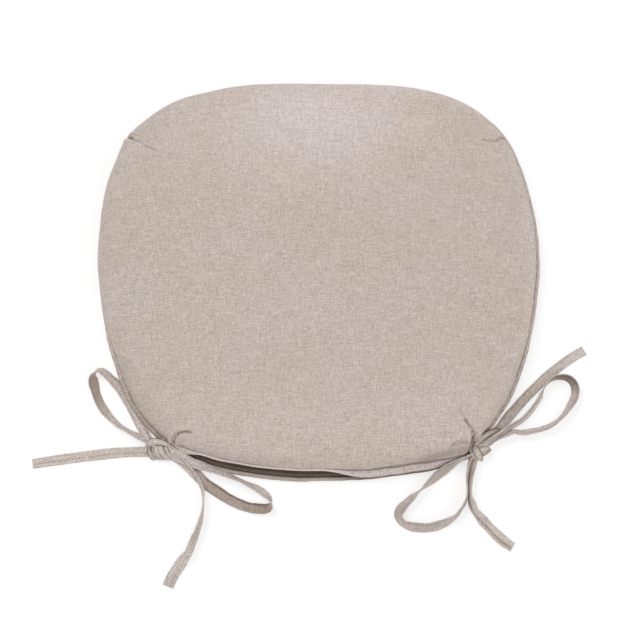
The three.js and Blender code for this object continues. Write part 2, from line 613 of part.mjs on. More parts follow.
// A flat strap along its centre line, tilted and widened point by point.
function strap(points, steps) {
  const centreLine = points.map(([x, y, z]) => new THREE.Vector3(x, y, z));
  const path = new THREE.CatmullRomCurve3(centreLine, false, "centripetal");
  const frames = Array.from({ length: steps + 1 }, (_, k) => {
    const t = k / steps;
    const along = t * (points.length - 1);
    const i = Math.min(Math.floor(along), points.length - 2);
    const tilt = degToRad(lerp(points[i][3], points[i + 1][3], along - i));
    const width = lerp(points[i][4], points[i + 1][4], along - i);
    const tangent = path.getTangent(t);
    const level = new THREE.Vector3(-tangent.y, tangent.x, 0).normalize();
    const up = new THREE.Vector3().crossVectors(tangent, level).normalize();
    const across = level.multiplyScalar(Math.cos(tilt)).addScaledVector(up, Math.sin(tilt));
    const through = new THREE.Vector3().crossVectors(tangent, across).normalize();
    return { centre: path.getPoint(t), across, through, width };
  });
  return sweptThrough(shapeOf(rectangle(0.5, 0.5)), frames, (x, y, frame) =>
    frame.centre.clone()
      .addScaledVector(frame.across, x * frame.width)
      .addScaledVector(frame.through, y * STRAP_T)
      .toArray());
}

for (const [side, limbs] of Object.entries(STRAPS)) {
  const seam = outline(side === "right" ? tieTurn : 1 - tieTurn);
  const centre = fromSeam(seam, [seam.x, seam.y], 0, KNOT_OUT);
  add(`${side}_tie_root`, tieRoot(seam), cloth(STRAP_LINEN));
  add(`${side}_knot`, knot(seam, centre), cloth(STRAP_LINEN));
  for (const [limb, { steps, points }] of Object.entries(limbs)) {
    const start = knotLead(points[0], seam, centre);
    const end = limb.startsWith("loop") ? knotLead(points.at(-1), seam, centre) : [];
    add(`${side}_${limb}`, strap([...start, ...points, ...end], steps), cloth(STRAP_LINEN));
  }
}

export default group;
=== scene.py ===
"""Looks of a tie-on seat cushion, built round its CAD frame.

The cushion lies flat on the floor, +Z up. Its opening, zip and two ties are at the near edge, -Y;
left is -X. Lengths are millimetres in the part's own frame and become metres in the objects.
"""
import math

import bpy
import numpy as np
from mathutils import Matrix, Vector


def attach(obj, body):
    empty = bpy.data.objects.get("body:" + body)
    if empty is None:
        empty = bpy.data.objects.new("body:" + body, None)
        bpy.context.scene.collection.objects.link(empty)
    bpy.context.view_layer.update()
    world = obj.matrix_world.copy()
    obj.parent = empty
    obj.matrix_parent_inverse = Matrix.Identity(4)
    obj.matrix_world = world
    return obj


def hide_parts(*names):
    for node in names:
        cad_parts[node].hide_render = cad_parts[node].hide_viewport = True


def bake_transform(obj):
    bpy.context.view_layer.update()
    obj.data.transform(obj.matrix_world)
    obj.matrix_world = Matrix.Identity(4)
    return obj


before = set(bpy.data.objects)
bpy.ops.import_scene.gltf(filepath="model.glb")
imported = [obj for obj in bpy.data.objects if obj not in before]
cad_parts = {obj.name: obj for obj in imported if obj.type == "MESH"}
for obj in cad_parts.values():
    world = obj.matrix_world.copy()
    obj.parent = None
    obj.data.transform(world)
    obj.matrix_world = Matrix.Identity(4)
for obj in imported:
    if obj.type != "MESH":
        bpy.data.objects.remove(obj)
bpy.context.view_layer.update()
MM = 0.001

# ------------------------------------------------------------------ driving dimensions
# Right half of the plan outline, far edge to near edge: x, y.
HALF_OUTLINE = [
    (0, 186.3), (20.5, 186.3), (41, 185.9), (61.6, 184.7), (82, 182.4), (104.4, 177.3),
    (126.6, 169.7), (147.3, 158.6), (165, 143.4), (178.4, 125), (187.3, 102.5), (194, 79.3),
    (198, 56.1), (199.7, 33.5), (199.4, 10.4), (197.3, -12.1), (194.1, -33.9), (189.8, -55.1),
    (184.2, -76), (177.3, -96.3), (169.1, -116.3), (157.6, -135), (140.9, -153.4),
    (120.5, -168.2), (94.4, -179.7), (72, -185.7), (44.6, -189.5), (17.7, -191.3), (0, -191.6),
]
# The sewn cover strays from the pattern: plan angle in degrees, outward shift.
STRAY = [
    (-180, -1.2), (-174, -1.34), (-168, -0.94), (-162, -0.86), (-156, -1.14), (-128, -0.7),
    (-124, -0.2), (-119, 0.3), (-113, -0.6), (-108, -0.75), (-102, -0.34), (-96, -0.1),
    (-90, -0.1), (-84, -0.3), (-78, -0.16), (-72, -0.51), (-66, 0.5), (-64.3, 1.6),
    (-61.4, 3.0), (-58.5, 3.8), (-56, 4.6), (-54, 4.6), (-52, 4.0), (-50, 2.9), (-48, 1.7),
    (-45, 0.6), (-41, -0.5), (-38, -0.3), (-36, 0.15), (-30, 0.05), (-24, 0.29), (-18, 0.2),
    (-12, 0.3), (-6, 0.07), (0, 0.13), (6, -0.11), (12, -0.26), (18, -0.91), (24, -0.61),
    (30, 0.29), (36, 1.4), (42, 2.9), (48, 3.59), (54, 3.48), (60, 2.55), (66, 2.39),
    (72, 1.65), (78, 1.2), (84, 1.1), (90, 1.3), (96, 1.73), (102, 1.76), (108, 1.99),
    (114, 1.35), (120, 1.18), (126, 1.98), (132, 1.0), (138, -0.9), (144, 0.5), (150, -0.81),
    (156, -0.76), (162, -1.61), (168, -1.9), (174, -1.5), (180, -1.2),
]
PIPING_R, PIPING_Z = 2.3, 5.5
REACH = 34.0  # how far in from the outline the shaped rim goes
RIM_Z, CROWN_Z = 28.95, 30.6  # height of the top there and at the centre
LINEN_T = 0.9
TIE_X, MOUTH_END_X = 133.0, 134.0
ZIP_R, ZIP_CENTRE = 360.0, (0.0, 178.0)
CHAIN_DEG, TAPE_DEG = (-17.8, 16.0), (-18.2, 17.2)
STRAP_T, STRAP_W = 1.6, 8.8
CAMERA_TILT = math.radians(70)
TO_CAMERA = np.array([0.0, -math.cos(CAMERA_TILT), math.sin(CAMERA_TILT)])

# ------------------------------------------------------------------ strap tables
# Stations along each strap: x, y, z, turn of the face away from the camera in degrees, width, tone;
# the tone is painted shade below 1 and a painted highlight above it.
LIMBS = {
    "left_loop_outer": [
        (-138.7,-161.7,7.44,0,5.4,1), (-145.4,-156.3,6.86,0,6.2,1), (-150,-149.2,4.99,0,7.4,1),
        (-156.5,-136.8,3.04,0,8.6,1), (-163,-124.3,2.07,0,8.8,1), (-168.7,-114.4,1.06,12,8.8,1),
        (-175.2,-105.4,2.02,28,8.8,1), (-182,-99.2,3.44,50,8.8,1), (-187.2,-94.1,3.47,52,8.8,1),
        (-192,-91.8,3.83,63,8.8,1), (-195.4,-93.9,5.02,84,8.8,0.9),
        (-197.4,-97.7,4.56,125,8.8,0.66), (-197,-103.1,2.96,148,8.8,0.62),
        (-194.3,-112.7,3.89,130,8.8,0.66), (-189.9,-122.6,3.6,132,8.8,0.74),
        (-183.4,-131.9,3.76,126,8.8,0.93), (-174.2,-141.2,4.54,108,8.8,0.97),
        (-163.7,-147.7,4.79,103,8.8,1.04), (-153.6,-152.9,4.5,118,8.6,1.06),
        (-146,-157.5,5.21,112,7.5,0.9), (-139,-162.3,4.9,110,5,0.85)],
    "left_tail_long": [
        (-136.3,-165.1,4.7,20.2,5.5,1), (-142.9,-165.4,3.7,20.4,7.6,1),
        (-148.7,-164.8,2.1,20.3,8.3,1), (-158.4,-164.8,1,20,8.1,1),
        (-173.3,-165.5,0.9,19.9,8.3,1), (-188.1,-167.1,0.9,19.9,8.5,1),
        (-207.8,-169.6,0.9,19.8,8.4,1), (-227.4,-172.4,0.9,19.8,8.2,1),
        (-245.8,-175.3,0.9,19.8,8,1)],
    "left_loop_inner": [
        (-134.4,-161.7,7.61,0,6,1), (-127.4,-165.5,7.62,-10,8.2,1),
        (-118.8,-170.7,6.5,-15,8.8,1), (-110.1,-174.8,5.59,-25,8.8,1),
        (-101.5,-177.6,5.33,-38,8.8,1), (-95.4,-179.7,5.37,-50,8.8,1),
        (-88.9,-181.9,5.31,-62,8.8,1), (-77.7,-186.2,4.94,-70,8.8,1),
        (-68,-190.4,4.87,-80,8.8,0.9), (-58.9,-194.5,4.58,-75,8.8,0.9),
        (-50.7,-198.5,3.78,-58,8.8,1), (-44.2,-203.7,4.14,-62,8.8,0.95),
        (-40.6,-209.4,5.22,-86,8.8,0.85), (-41,-213.6,3.42,-128,8.8,0.66),
        (-45.5,-215,1.95,-146,8.8,0.62), (-51.3,-214.7,1.96,-146,8.8,0.62),
        (-58.8,-213.5,0.9,-160.5,8,0.65), (-67.8,-210.4,0.9,-161.5,8.5,0.68),
        (-77.1,-205.8,1,-162.5,8.3,0.66), (-86.5,-199.7,1.3,-163.2,9,0.62),
        (-96.3,-193.2,1.7,-164,8.8,0.7), (-101.2,-188.4,2.1,-165.8,8.8,0.8),
        (-105.8,-183.7,2.6,-166,8.8,0.92), (-110.5,-178.9,3.2,-165.4,8.8,0.95),
        (-115.7,-174.5,4.51,-172,8.8,0.97), (-121.9,-170.6,5.26,-172,8.4,0.97),
        (-128,-167.1,5.49,-172,7,0.95), (-133.7,-164.2,5.42,-172,6,0.95)],
    "left_tail_short": [
        (-126.8,-166.7,4.82,60,6,0.85), (-118.9,-172.3,4.69,60,7,0.85),
        (-111.6,-179.3,4.84,60,8,0.85), (-105.4,-186.9,4.94,62,8.4,0.88),
        (-101,-193.7,5.19,68,8.8,0.92), (-98.2,-201.1,5.17,71,8.8,1),
        (-97.9,-207.1,5.26,82,8.8,1), (-97.9,-214,5.21,80,8.8,1), (-98.8,-220.8,4.99,72,8.8,1),
        (-100.5,-228.2,4.65,64,8.8,0.92), (-102.9,-235.7,4.23,56,8.8,0.88),
        (-105.6,-242.8,3.77,48,8.8,0.88), (-107.7,-248.5,3.87,46,8.8,1),
        (-109.2,-253,3.99,46,8.9,1), (-112.5,-256.8,2.6,33,9,1), (-117.2,-264,0.9,10.6,9,1),
        (-122.4,-272.6,0.9,9.6,9,0.88), (-125.8,-280.5,0.9,8.3,9,0.9)],
    "right_tail_long": [
        (137.5,-162.3,7.98,0,7,1), (142,-156.8,8.17,0,8.4,1), (148.5,-151.5,6.8,0,7.8,1),
        (156.1,-145.3,5.06,0,7.4,1), (163,-136.5,2.7,-13.7,8.3,1),
        (170.5,-127.7,1.6,-13.7,8.1,0.88), (178.5,-118.6,1,-13.9,7.9,0.84),
        (186.7,-110.1,0.9,-14.4,8,0.88), (195,-102,0.9,-14.9,8.1,1),
        (203.1,-94.7,0.9,-15.4,8.1,1), (211.4,-87.9,0.9,-16,7.9,1),
        (219.6,-81.9,0.9,-16.6,7.9,1), (227.6,-76.5,0.9,-17.2,7.8,1),
        (234.8,-72.6,0.9,-17.7,8,1)],
    "right_loop_outer": [
        (141.5,-162,7.08,30,6,1), (150.3,-155.9,7.42,45,8,1), (158.4,-150,6.63,54,8.8,1),
        (167,-143.3,5.67,55,8.8,1), (175.9,-138,5.19,56,8.8,1), (183.6,-130.5,4.91,52,8.8,1),
        (189.7,-122.5,5.03,58,8.8,1), (194.2,-115.3,5.02,60,8.8,0.95),
        (196.6,-109.1,5.3,82,8.8,0.85), (200.4,-103.6,5.29,72,8.8,0.8),
        (205.7,-99.8,5.26,64,8.8,0.56), (211.5,-98.3,5.23,60,8.8,0.46),
        (218,-99.2,5.09,54,8.8,0.4), (222.4,-103,4.83,52,8.8,0.46),
        (224.3,-108.4,4.47,52,8.8,0.62), (223.8,-114.5,4.19,54,8.8,0.85),
        (220.7,-121.4,4.16,58,8.8,0.93), (215.4,-129.5,4.75,74,8.8,0.93),
        (208.1,-137.3,4.94,82,8.8,0.93), (200,-142.7,4.46,72,8.8,0.93),
        (191.9,-145.4,4.25,69,8.8,0.93), (184,-147.1,4.14,67,8.8,0.93),
        (176.5,-148.4,4.12,67,8.8,0.93), (168.5,-147.9,4.76,74,8.8,0.93),
        (160.7,-150.7,5.17,70,8.4,0.9), (152.7,-154.5,5.68,70,7,0.85),
        (144.3,-160.7,5.43,60,5,0.85)],
    "right_loop_inner": [
        (133.8,-169.1,7.8,-38,6,1), (129.2,-171,7.52,-60,6.6,1), (124.6,-172.5,6.85,-64,7.6,1),
        (119.1,-174.8,6.32,-57,8.6,0.92), (113.6,-178.2,5.4,-44,8.8,0.84),
        (108.7,-181.6,4.68,-34,8.8,0.82), (103.7,-184.9,4.16,-28,8.8,0.82),
        (96.5,-191.1,4.75,-43,8.8,0.85), (90.7,-196.2,5.25,-66,8.8,0.88),
        (85.5,-200.8,5.17,-88,8.8,0.93), (80.1,-205.4,4.21,-116,8.8,0.9),
        (74.5,-210.7,3.6,-128,8.8,0.82), (69.7,-216,2.95,-142,8.8,0.76),
        (68.2,-221.9,4.16,-134,8.8,0.82), (71.1,-227.3,4.82,-132,8.8,0.85),
        (77.2,-230.2,4.42,-146,8.8,0.88), (84.7,-231.3,4.06,-154,8.8,0.85),
        (92.5,-231.5,4.31,-149,8.8,0.85), (101,-229.7,4.13,-152,8.8,0.86),
        (108.9,-226.6,4.7,-138,8.8,0.88), (115.8,-222.4,5.16,-120,8.8,0.9),
        (120.7,-216.6,5.27,-109,8.8,0.84), (124.6,-210.6,5.25,-108,8.8,0.8),
        (126.9,-204.2,5.24,-104,8.8,0.78), (127.4,-197.1,5.18,-104,8.8,0.85),
        (127.2,-190.6,5.25,-106,8.8,0.78), (128.2,-183.7,5.72,-110,8.4,0.74),
        (129.8,-176.9,6.46,-112,7,0.72), (132.6,-170.8,6.94,-110,5,0.72)],
    "right_tail_short": [
        (134,-168.7,5.47,36,7,0.9), (132.1,-175.6,4.71,40,8.4,0.86),
        (130.6,-182.6,4.78,52,8.8,0.84), (129.4,-190.5,4.94,66,8.8,0.84),
        (128.9,-197.6,5.12,74,8.8,1), (129.1,-204.5,5.17,74,8.8,1.1),
        (130.4,-210.9,4.43,50,8.6,1), (132.7,-217.4,4.47,48,8.4,1),
        (137.6,-223.4,3.88,32,8.6,1), (142.6,-228.2,0.9,-13.8,8.1,1),
        (147.5,-233.6,0.9,-14.1,8.3,1), (153.1,-239.2,0.9,-14.9,8.7,1),
        (158.6,-244,0.9,-16.1,8.3,1), (164,-247.5,0.9,-16.9,8,1)],
}
# Per limb: stitch line (share of the width from the centre at the start and at the end, pitch),
# fold (share of the width, depth, start and end as shares of the length), joint, outward x and y.
LIMB_DETAILS = {
    "left_loop_outer":
        ((0.34, 0.34, 3.2), (-0.30, 0.30, 0.0, 0.42), (-145.4, -158.2, 4.4), (-0.643, 0.765)),
    "left_loop_inner":
        ((-0.32, 0.34, 2.6), (0.40, 0.35, 0.50, 0.80), (-129.6, -170.8, 7.0), (0.93, -0.37)),
    "left_tail_long": ((0.12, 0.12, 2.9), None, (-147.0, -166.8, 3.9), (-1.0, -0.08)),
    "left_tail_short": ((0.18, 0.18, 4.4), None, (-132.0, -174.6, 1.2), (0.75, -0.66)),
    "right_loop_outer":
        ((0.34, 0.34, 3.2), (0.30, 0.35, 0.05, 0.30), (147.0, -164.6, 4.4), (0.83, 0.56)),
    "right_loop_inner": ((-0.30, -0.30, 3.4), None, (128.6, -175.6, 4.6), (-0.70, -0.71)),
    "right_tail_long": ((0.36, 0.36, 3.2), None, (144.6, -159.4, 4.4), (0.70, 0.71)),
    "right_tail_short":
        ((-0.30, -0.30, 3.4), (-0.16, 0.75, 0.42, 1.0), (136.8, -175.4, 2.2), (-0.05, -1.0)),
}
STITCH_SHIFT = 0.47  # share of the length where a stitch line changes side

# Bands wrapped round each knot, with the same columns as LIMBS.
KNOTS = {
    "left_knot": [
        [(-147.3,-163.3,2,-60,5.5,1), (-147,-160.7,4.6,-46,6.6,1), (-144.3,-158.7,7.9,-22,7,1),
         (-139.9,-158.2,9.9,-4,6.6,1), (-135.1,-158.8,10.4,4,5.2,1), (-130.8,-160.1,9.8,6,4,1),
         (-126.6,-161.6,8.2,6,3,1)],
        [(-139.7,-161,8.2,0,5.5,1), (-140.1,-165.4,8.2,4,6.4,1), (-138.4,-168.8,6.8,10,6.8,1),
         (-135.3,-170.7,3.8,26,6.2,1), (-133.8,-171.6,1.6,50,5,1)],
        [(-135.9,-160.6,8.4,0,4.4,1), (-135,-165.6,8.8,0,5.2,1), (-132.8,-168.8,7.4,6,5.6,1),
         (-129.8,-171,4.8,20,5.6,1), (-128.4,-171.6,1.8,50,5,1)],
        [(-144,-161.3,6.2,-20,5,1), (-144.4,-165.6,5.6,-16,5.6,1), (-142.3,-169.1,3.6,-6,5.6,1),
         (-139.4,-170.8,1.4,30,5,1)],
        [(-131.6,-162.3,8.2,0,3.4,1), (-129.6,-167,7.8,4,3.8,1), (-128,-170,5.6,14,3.6,1),
         (-127.4,-171.1,2.4,40,3,1)],
    ],
    "right_knot": [
        [(132.1,-159.1,4.2,20,4.8,1), (133.3,-162,7.8,10,5.6,1), (135,-165.6,9.9,0,5.8,1),
         (137,-169.3,9.2,2,5.6,1), (138.5,-171.4,5.6,14,5.2,1), (139.1,-172.2,1.8,40,4,1)],
        [(137.3,-167.3,7.6,0,7,1), (140.8,-166.1,7.8,-6,7.6,1), (144.4,-164.4,6.6,-14,6.4,1),
         (147.4,-162.6,4.2,-36,4.2,1)],
        [(134.4,-164.8,7.6,0,6,1), (138.6,-158.8,9,6,8.4,1), (144,-154.3,8.6,9,9,1),
         (150.7,-150.2,6.8,12,8.2,1), (157,-147.1,4.6,20,5.5,1)],
        [(130.8,-160.8,4,10,4.6,1), (131.4,-164.3,7.6,4,5.4,1), (132.5,-168.2,9,-2,5.6,1),
         (133.9,-170.9,7.2,6,5.4,1), (134.9,-172.4,3.4,24,4.8,1)],
    ],
}
# Folds of single bands, by knot and band number; columns as in LIMB_DETAILS.
KNOT_FOLDS = {
    ("left_knot", 1): (-0.2, 0.35, 0.1, 0.9),
    ("right_knot", 1): (-0.2, 0.35, 0.1, 0.9),
    ("right_knot", 2): (-0.06, 0.55, 0.05, 0.85),
}
# Bunched cloth inside each knot: centre x, centre y, half sizes, turn in plan in radians.
KNOT_CORES = {
    "left_knot": (-138.0, -163.2, (8.2, 5.4, 3.6), -0.5),
    "right_knot": (135.6, -165.2, (6.6, 6.2, 3.9), 0.75),
}
# Short lengths from the cover to each knot, with the same columns as LIMBS.
ROOTS = {
    "left_tie_root": [(-127.6,-152.3,5.8,0,6.4,1), (-130.6,-155.6,6.4,0,6.6,1),
                      (-133.7,-159,7.2,0,6.4,1), (-136.2,-162.3,6.6,0,5.5,1)],
    "right_tie_root": [(127.2,-156.8,5.8,0,6.4,1), (130.1,-159.9,6.4,0,6.6,1),
                       (132.8,-163.1,7,0,6.4,1), (135.4,-165.8,6.4,0,5.5,1)],
}


# ------------------------------------------------------------------ small maths
def smooth(x, start, end):
    t = np.clip((np.asarray(x, float) - start) / (end - start), 0, 1)
    return t * t * (3 - 2 * t)


def bell(x, half):
    return np.exp(-((x / half) ** 2))


def unit(v):
    v = np.asarray(v, float)
    return v / np.maximum(np.linalg.norm(v, axis=-1, keepdims=True), 1e-12)


def add_z(xy, z):
    """Plan places with a third coordinate."""
    return np.concatenate([xy, np.broadcast_to(z, xy.shape[:-1])[..., None]], -1)


noise_tables = {}


def noise(x, y, seed=0):
    """Smooth value noise, -1 to 1, one cell per unit."""
    if seed not in noise_tables:
        noise_tables[seed] = np.random.default_rng(1000 + seed).uniform(-1, 1, (256, 256))
    table = noise_tables[seed]
    x, y = np.broadcast_arrays(np.asarray(x, float), np.asarray(y, float))
    xi, yi = np.floor(x).astype(int), np.floor(y).astype(int)
    fx, fy = (f * f * f * (f * (6 * f - 15) + 10) for f in (x - xi, y - yi))
    a, b = table[xi % 256, yi % 256], table[(xi + 1) % 256, yi % 256]
    c, d = table[xi % 256, (yi + 1) % 256], table[(xi + 1) % 256, (yi + 1) % 256]
    return (a + (b - a) * fx) * (1 - fy) + (c + (d - c) * fx) * fy


def catmull(points, closed=False, sub=24):
    """Dense samples of a centripetal Catmull-Rom curve; columns past the third ride along."""
    p = np.asarray(points, float)
    if closed:
        padded = np.concatenate([p[-1:], p, p[:2]])
    else:
        padded = np.concatenate([[p[0] * 2 - p[1]], p, [p[-1] * 2 - p[-2]]])
    out = []
    w = np.linspace(0, 1, sub, endpoint=False)[:, None]
    for p0, p1, p2, p3 in zip(padded, padded[1:], padded[2:], padded[3:]):
        d0, d1, d2 = (max(np.linalg.norm((b - a)[:3]) ** 0.5, 1e-4)
                      for a, b in ((p0, p1), (p1, p2), (p2, p3)))
        t1 = ((p1 - p0) / d0 - (p2 - p0) / (d0 + d1) + (p2 - p1) / d1) * d1
        t2 = ((p2 - p1) / d1 - (p3 - p1) / (d1 + d2) + (p3 - p2) / d2) * d1
        out.append((2 * p1 - 2 * p2 + t1 + t2) * w**3
                   + (-3 * p1 + 3 * p2 - 2 * t1 - t2) * w**2 + t1 * w + p1)
    if not closed:
        out.append(p[-1:])
    return np.concatenate(out)


def lengths_along(points):
    steps = np.linalg.norm(np.diff(points, axis=0), axis=1)
    return np.concatenate([[0], np.cumsum(steps)])


def resample(samples, step=None, count=None, dims=3):
    """Evenly spaced points along a dense polyline, and their lengths along it."""
    at = lengths_along(samples[:, :dims])
    n = count or max(4, int(round(at[-1] / step)) + 1)
    want = np.linspace(0, at[-1], n)
    return np.stack([np.interp(want, at, column) for column in samples.T], 1), want


def resample_loop(points, count, sub=12):
    """Evenly spaced points round a closed curve, and its length."""
    dense = catmull(points, closed=True, sub=sub)
    even, at = resample(np.concatenate([dense, dense[:1]]), count=count + 1, dims=2)
    return even[:-1], at[-1]


# ------------------------------------------------------------------ plan outline
# Places on it are shares s of its length, counter-clockwise from the middle of the near edge.
FINE = 6144
EDGE, PERIMETER = resample_loop(
    HALF_OUTLINE[::-1] + [(-x, y) for x, y in HALF_OUTLINE[1:-1]], FINE, sub=48)
edge_tangent = unit(np.roll(EDGE, -22, 0) - np.roll(EDGE, 22, 0))
EDGE_INWARD = np.stack([-edge_tangent[:, 1], edge_tangent[:, 0]], 1)


def plan_angle(points):
    return np.degrees(np.arctan2(points[..., 1], points[..., 0]))


EDGE_STRAY = np.interp(plan_angle(EDGE), *np.transpose(STRAY), period=360)


def pick(table, s):
    """The value of a fine table at s."""
    place = (np.asarray(s, float) % 1.0) * FINE
    whole = np.floor(place)
    w = place - whole
    i = whole.astype(int) % FINE
    a, b = table[i], table[(i + 1) % FINE]
    return a + (b - a) * (w[..., None] if table.ndim > 1 else w)


def edge_x(s):
    return pick(EDGE, s)[..., 0]


def inward(s, inset):
    """Plan places an inset inside the sewn edge; its straying dies out further in."""
    inset = np.asarray(inset, float)
    shift = inset - pick(EDGE_STRAY, s) * (1 - smooth(inset, 6, 40))
    return pick(EDGE, s) + pick(EDGE_INWARD, s) * shift[..., None]


def s_at_x(x):
    """Where the near edge passes x, -0.5 to 0.5."""
    i = np.where(EDGE[:, 1] < -90)[0]
    nearest = i[np.argmin(np.abs(EDGE[i, 0] - x))]
    return (nearest / FINE + 0.5) % 1.0 - 0.5


TIE_S = s_at_x(TIE_X)


def on_near_edge(s, weight):
    return np.where(pick(EDGE, s)[..., 1] < -110, weight, 0.0)


def mouth_weight(s):
    """1 where the cover has the opening and its flap, 0 round the piped sides."""
    x = edge_x(s)
    return on_near_edge(s, smooth(x, -131, -122) * (1 - smooth(x, 125, 132)))


def mouth_blend(s, side, mouth):
    """Sections round the outline: one for the piped sides, one for the opening."""
    w = mouth_weight(s)[:, None, None]
    return np.asarray(side) * (1 - w) + np.asarray(mouth) * w


def closed_weight(s):
    """How far the flap comes down: 0 turned under, 1 over the lip."""
    x = edge_x(s)
    return np.maximum(smooth(x, 2, 46), 1 - smooth(x, -124, -99))


# ------------------------------------------------------------------ meshes
def signed_volume(verts, faces):
    """Six times the volume; negative where the faces look inwards."""
    tri = np.array([[f[0], f[k], f[k + 1]] for f in faces for k in range(1, len(f) - 1)])
    a, b, c = (verts[tri[:, k]] - verts.mean(0) for k in range(3))
    return np.einsum("ij,ij->i", a, np.cross(b, c)).sum()


def make(name, material, verts, faces, cloth, tone):
    """A mesh object with its cloth coordinates (mm along the weave) and tone."""
    mesh = bpy.data.meshes.new(name)
    verts = np.asarray(verts, float) * MM
    mesh.from_pydata(verts.tolist(), [], [tuple(int(i) for i in f) for f in faces])
    mesh.validate()
    cloth_attribute = mesh.attributes.new("cloth", "FLOAT_VECTOR", "POINT")
    cloth_attribute.data.foreach_set("vector", np.asarray(cloth, np.float32).ravel())
    tone_attribute = mesh.attributes.new("tone", "FLOAT", "POINT")
    tone_attribute.data.foreach_set("value", np.asarray(tone, np.float32))
    mesh.polygons.foreach_set("use_smooth", [True] * len(mesh.polygons))
    mesh.materials.append(material)
    obj = bpy.data.objects.new(name, mesh)
    bpy.context.scene.collection.objects.link(obj)
    if signed_volume(verts, faces) < 0:
        mesh.flip_normals()
    return obj


def stand_in(obj, node, rides="cover"):
    """Fixes an object to a moving part in place of a CAD node."""
    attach(obj, rides)
    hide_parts(node)


class Parts:
    """Collects several closed shells into one mesh."""

    def __init__(self):
        self.verts, self.faces, self.cloth, self.tone = [], [], [], []
        self.count = 0

    def add(self, verts, faces, cloth, tone):
        if signed_volume(verts, faces) < 0:
            faces = [tuple(reversed(f)) for f in faces]
        self.verts.append(verts)
        self.cloth.append(cloth)
        self.tone.append(tone)
        self.faces += [tuple(i + self.count for i in f) for f in faces]
        self.count += len(verts)

    def make(self, name, material):
        return make(name, material, np.concatenate(self.verts), self.faces,
                    np.concatenate(self.cloth), np.concatenate(self.tone))


def grid_faces(rows, columns, caps=True):
    """Quads of a sheet whose columns wrap round; its ends may be capped."""
    out = []
    for a in range(0, (rows - 1) * columns, columns):
        b = a + columns
        for j in range(columns):
            k = (j + 1) % columns
            out.append((a + j, a + k, b + k, b + j))
    if caps:
        out.append(tuple(range(columns - 1, -1, -1)))
        out.append(tuple((rows - 1) * columns + j for j in range(columns)))
    return out


def weave(along, across, layer):
    """Cloth coordinates of a sheet; the layer keeps the pattern of each piece its own."""
    u, v = np.meshgrid(along, across, indexing="ij")
    return np.stack([u, v, np.full_like(u, layer)], 2)


def shell(points, cloth, tone=1.0):
    """A capped tube from a sheet of points."""
    rows, columns = points.shape[:2]
    return (points.reshape(-1, 3), grid_faces(rows, columns), cloth.reshape(-1, 3),
            np.broadcast_to(tone, (rows, columns)).ravel())


def tube(centres, sideways, up, radius, along, layer, tone=1.0, sides=5):
    a = np.arange(sides) / sides * 2 * math.pi
    radii = np.broadcast_to(radius, len(centres))[:, None, None]
    around = sideways[:, None] * np.cos(a)[:, None] + up[:, None] * np.sin(a)[:, None]
    return shell(centres[:, None] + radii * around, weave(along, a * 0.2, layer), tone)


def ring_faces(a, na, b, nb):
    """Faces between rings starting at a and b; counts are equal, double, half or 1."""
    if na == 1:
        return [(a, b + (j + 1) % nb, b + j) for j in range(nb)]
    if nb == 1:
        return [(a + j, a + (j + 1) % na, b) for j in range(na)]
    if na == nb:
        return [(a + j, a + (j + 1) % na, b + (j + 1) % nb, b + j) for j in range(na)]
    faces = []
    for j in range(min(na, nb)):
        k = (j + 1) % min(na, nb)
        if nb == 2 * na:
            mid = b + 2 * j + 1
            faces += [(a + j, mid, b + 2 * j), (a + j, a + k, mid),
                      (a + k, b + (2 * j + 2) % nb, mid)]
        else:
            mid = a + 2 * j + 1
            faces += [(b + j, a + 2 * j, mid), (b + j, mid, b + k),
                      (b + k, mid, a + (2 * j + 2) % na)]
    return faces


class Rings:
    """A closed skin collected ring by ring, from one single point to another."""

    def __init__(self):
        self.points, self.cloth, self.tone = [], [], []

    def add(self, points, cloth, tone=1.0):
        self.points.append(points)
        self.cloth.append(cloth)
        self.tone.append(np.broadcast_to(tone, len(points)))

    def pole(self, z, layer):
        self.add(np.array([[0.0, 0.0, z]]), np.array([[0.0, 0.0, layer]]))

    def skin(self):
        counts = [len(p) for p in self.points]
        starts = np.cumsum([0] + counts).tolist()
        faces = []
        for i in range(len(counts) - 1):
            faces += ring_faces(starts[i], counts[i], starts[i + 1], counts[i + 1])
        return (np.concatenate(self.points), faces,
                np.concatenate(self.cloth), np.concatenate(self.tone))


# ------------------------------------------------------------------ materials
def srgb(*channels):
    """Linear colour from 0-255 sRGB values, all above the curve's straight foot."""
    return tuple(((c / 255 + 0.055) / 1.055) ** 2.4 for c in channels) + (1.0,)


class Value:
    """A shader output; arithmetic on it adds math nodes."""

    def __init__(self, graph, socket):
        self.graph, self.socket = graph, socket

    def __add__(self, other):
        return self.graph.math("ADD", self, other)

    def __radd__(self, other):
        return self.graph.math("ADD", other, self)

    def __sub__(self, other):
        return self.graph.math("SUBTRACT", self, other)

    def __rsub__(self, other):
        return self.graph.math("SUBTRACT", other, self)

    def __mul__(self, other):
        return self.graph.math("MULTIPLY", self, other)

    def __truediv__(self, other):
        return self.graph.math("DIVIDE", self, other)

    def __pow__(self, other):
        return self.graph.math("POWER", self, other)


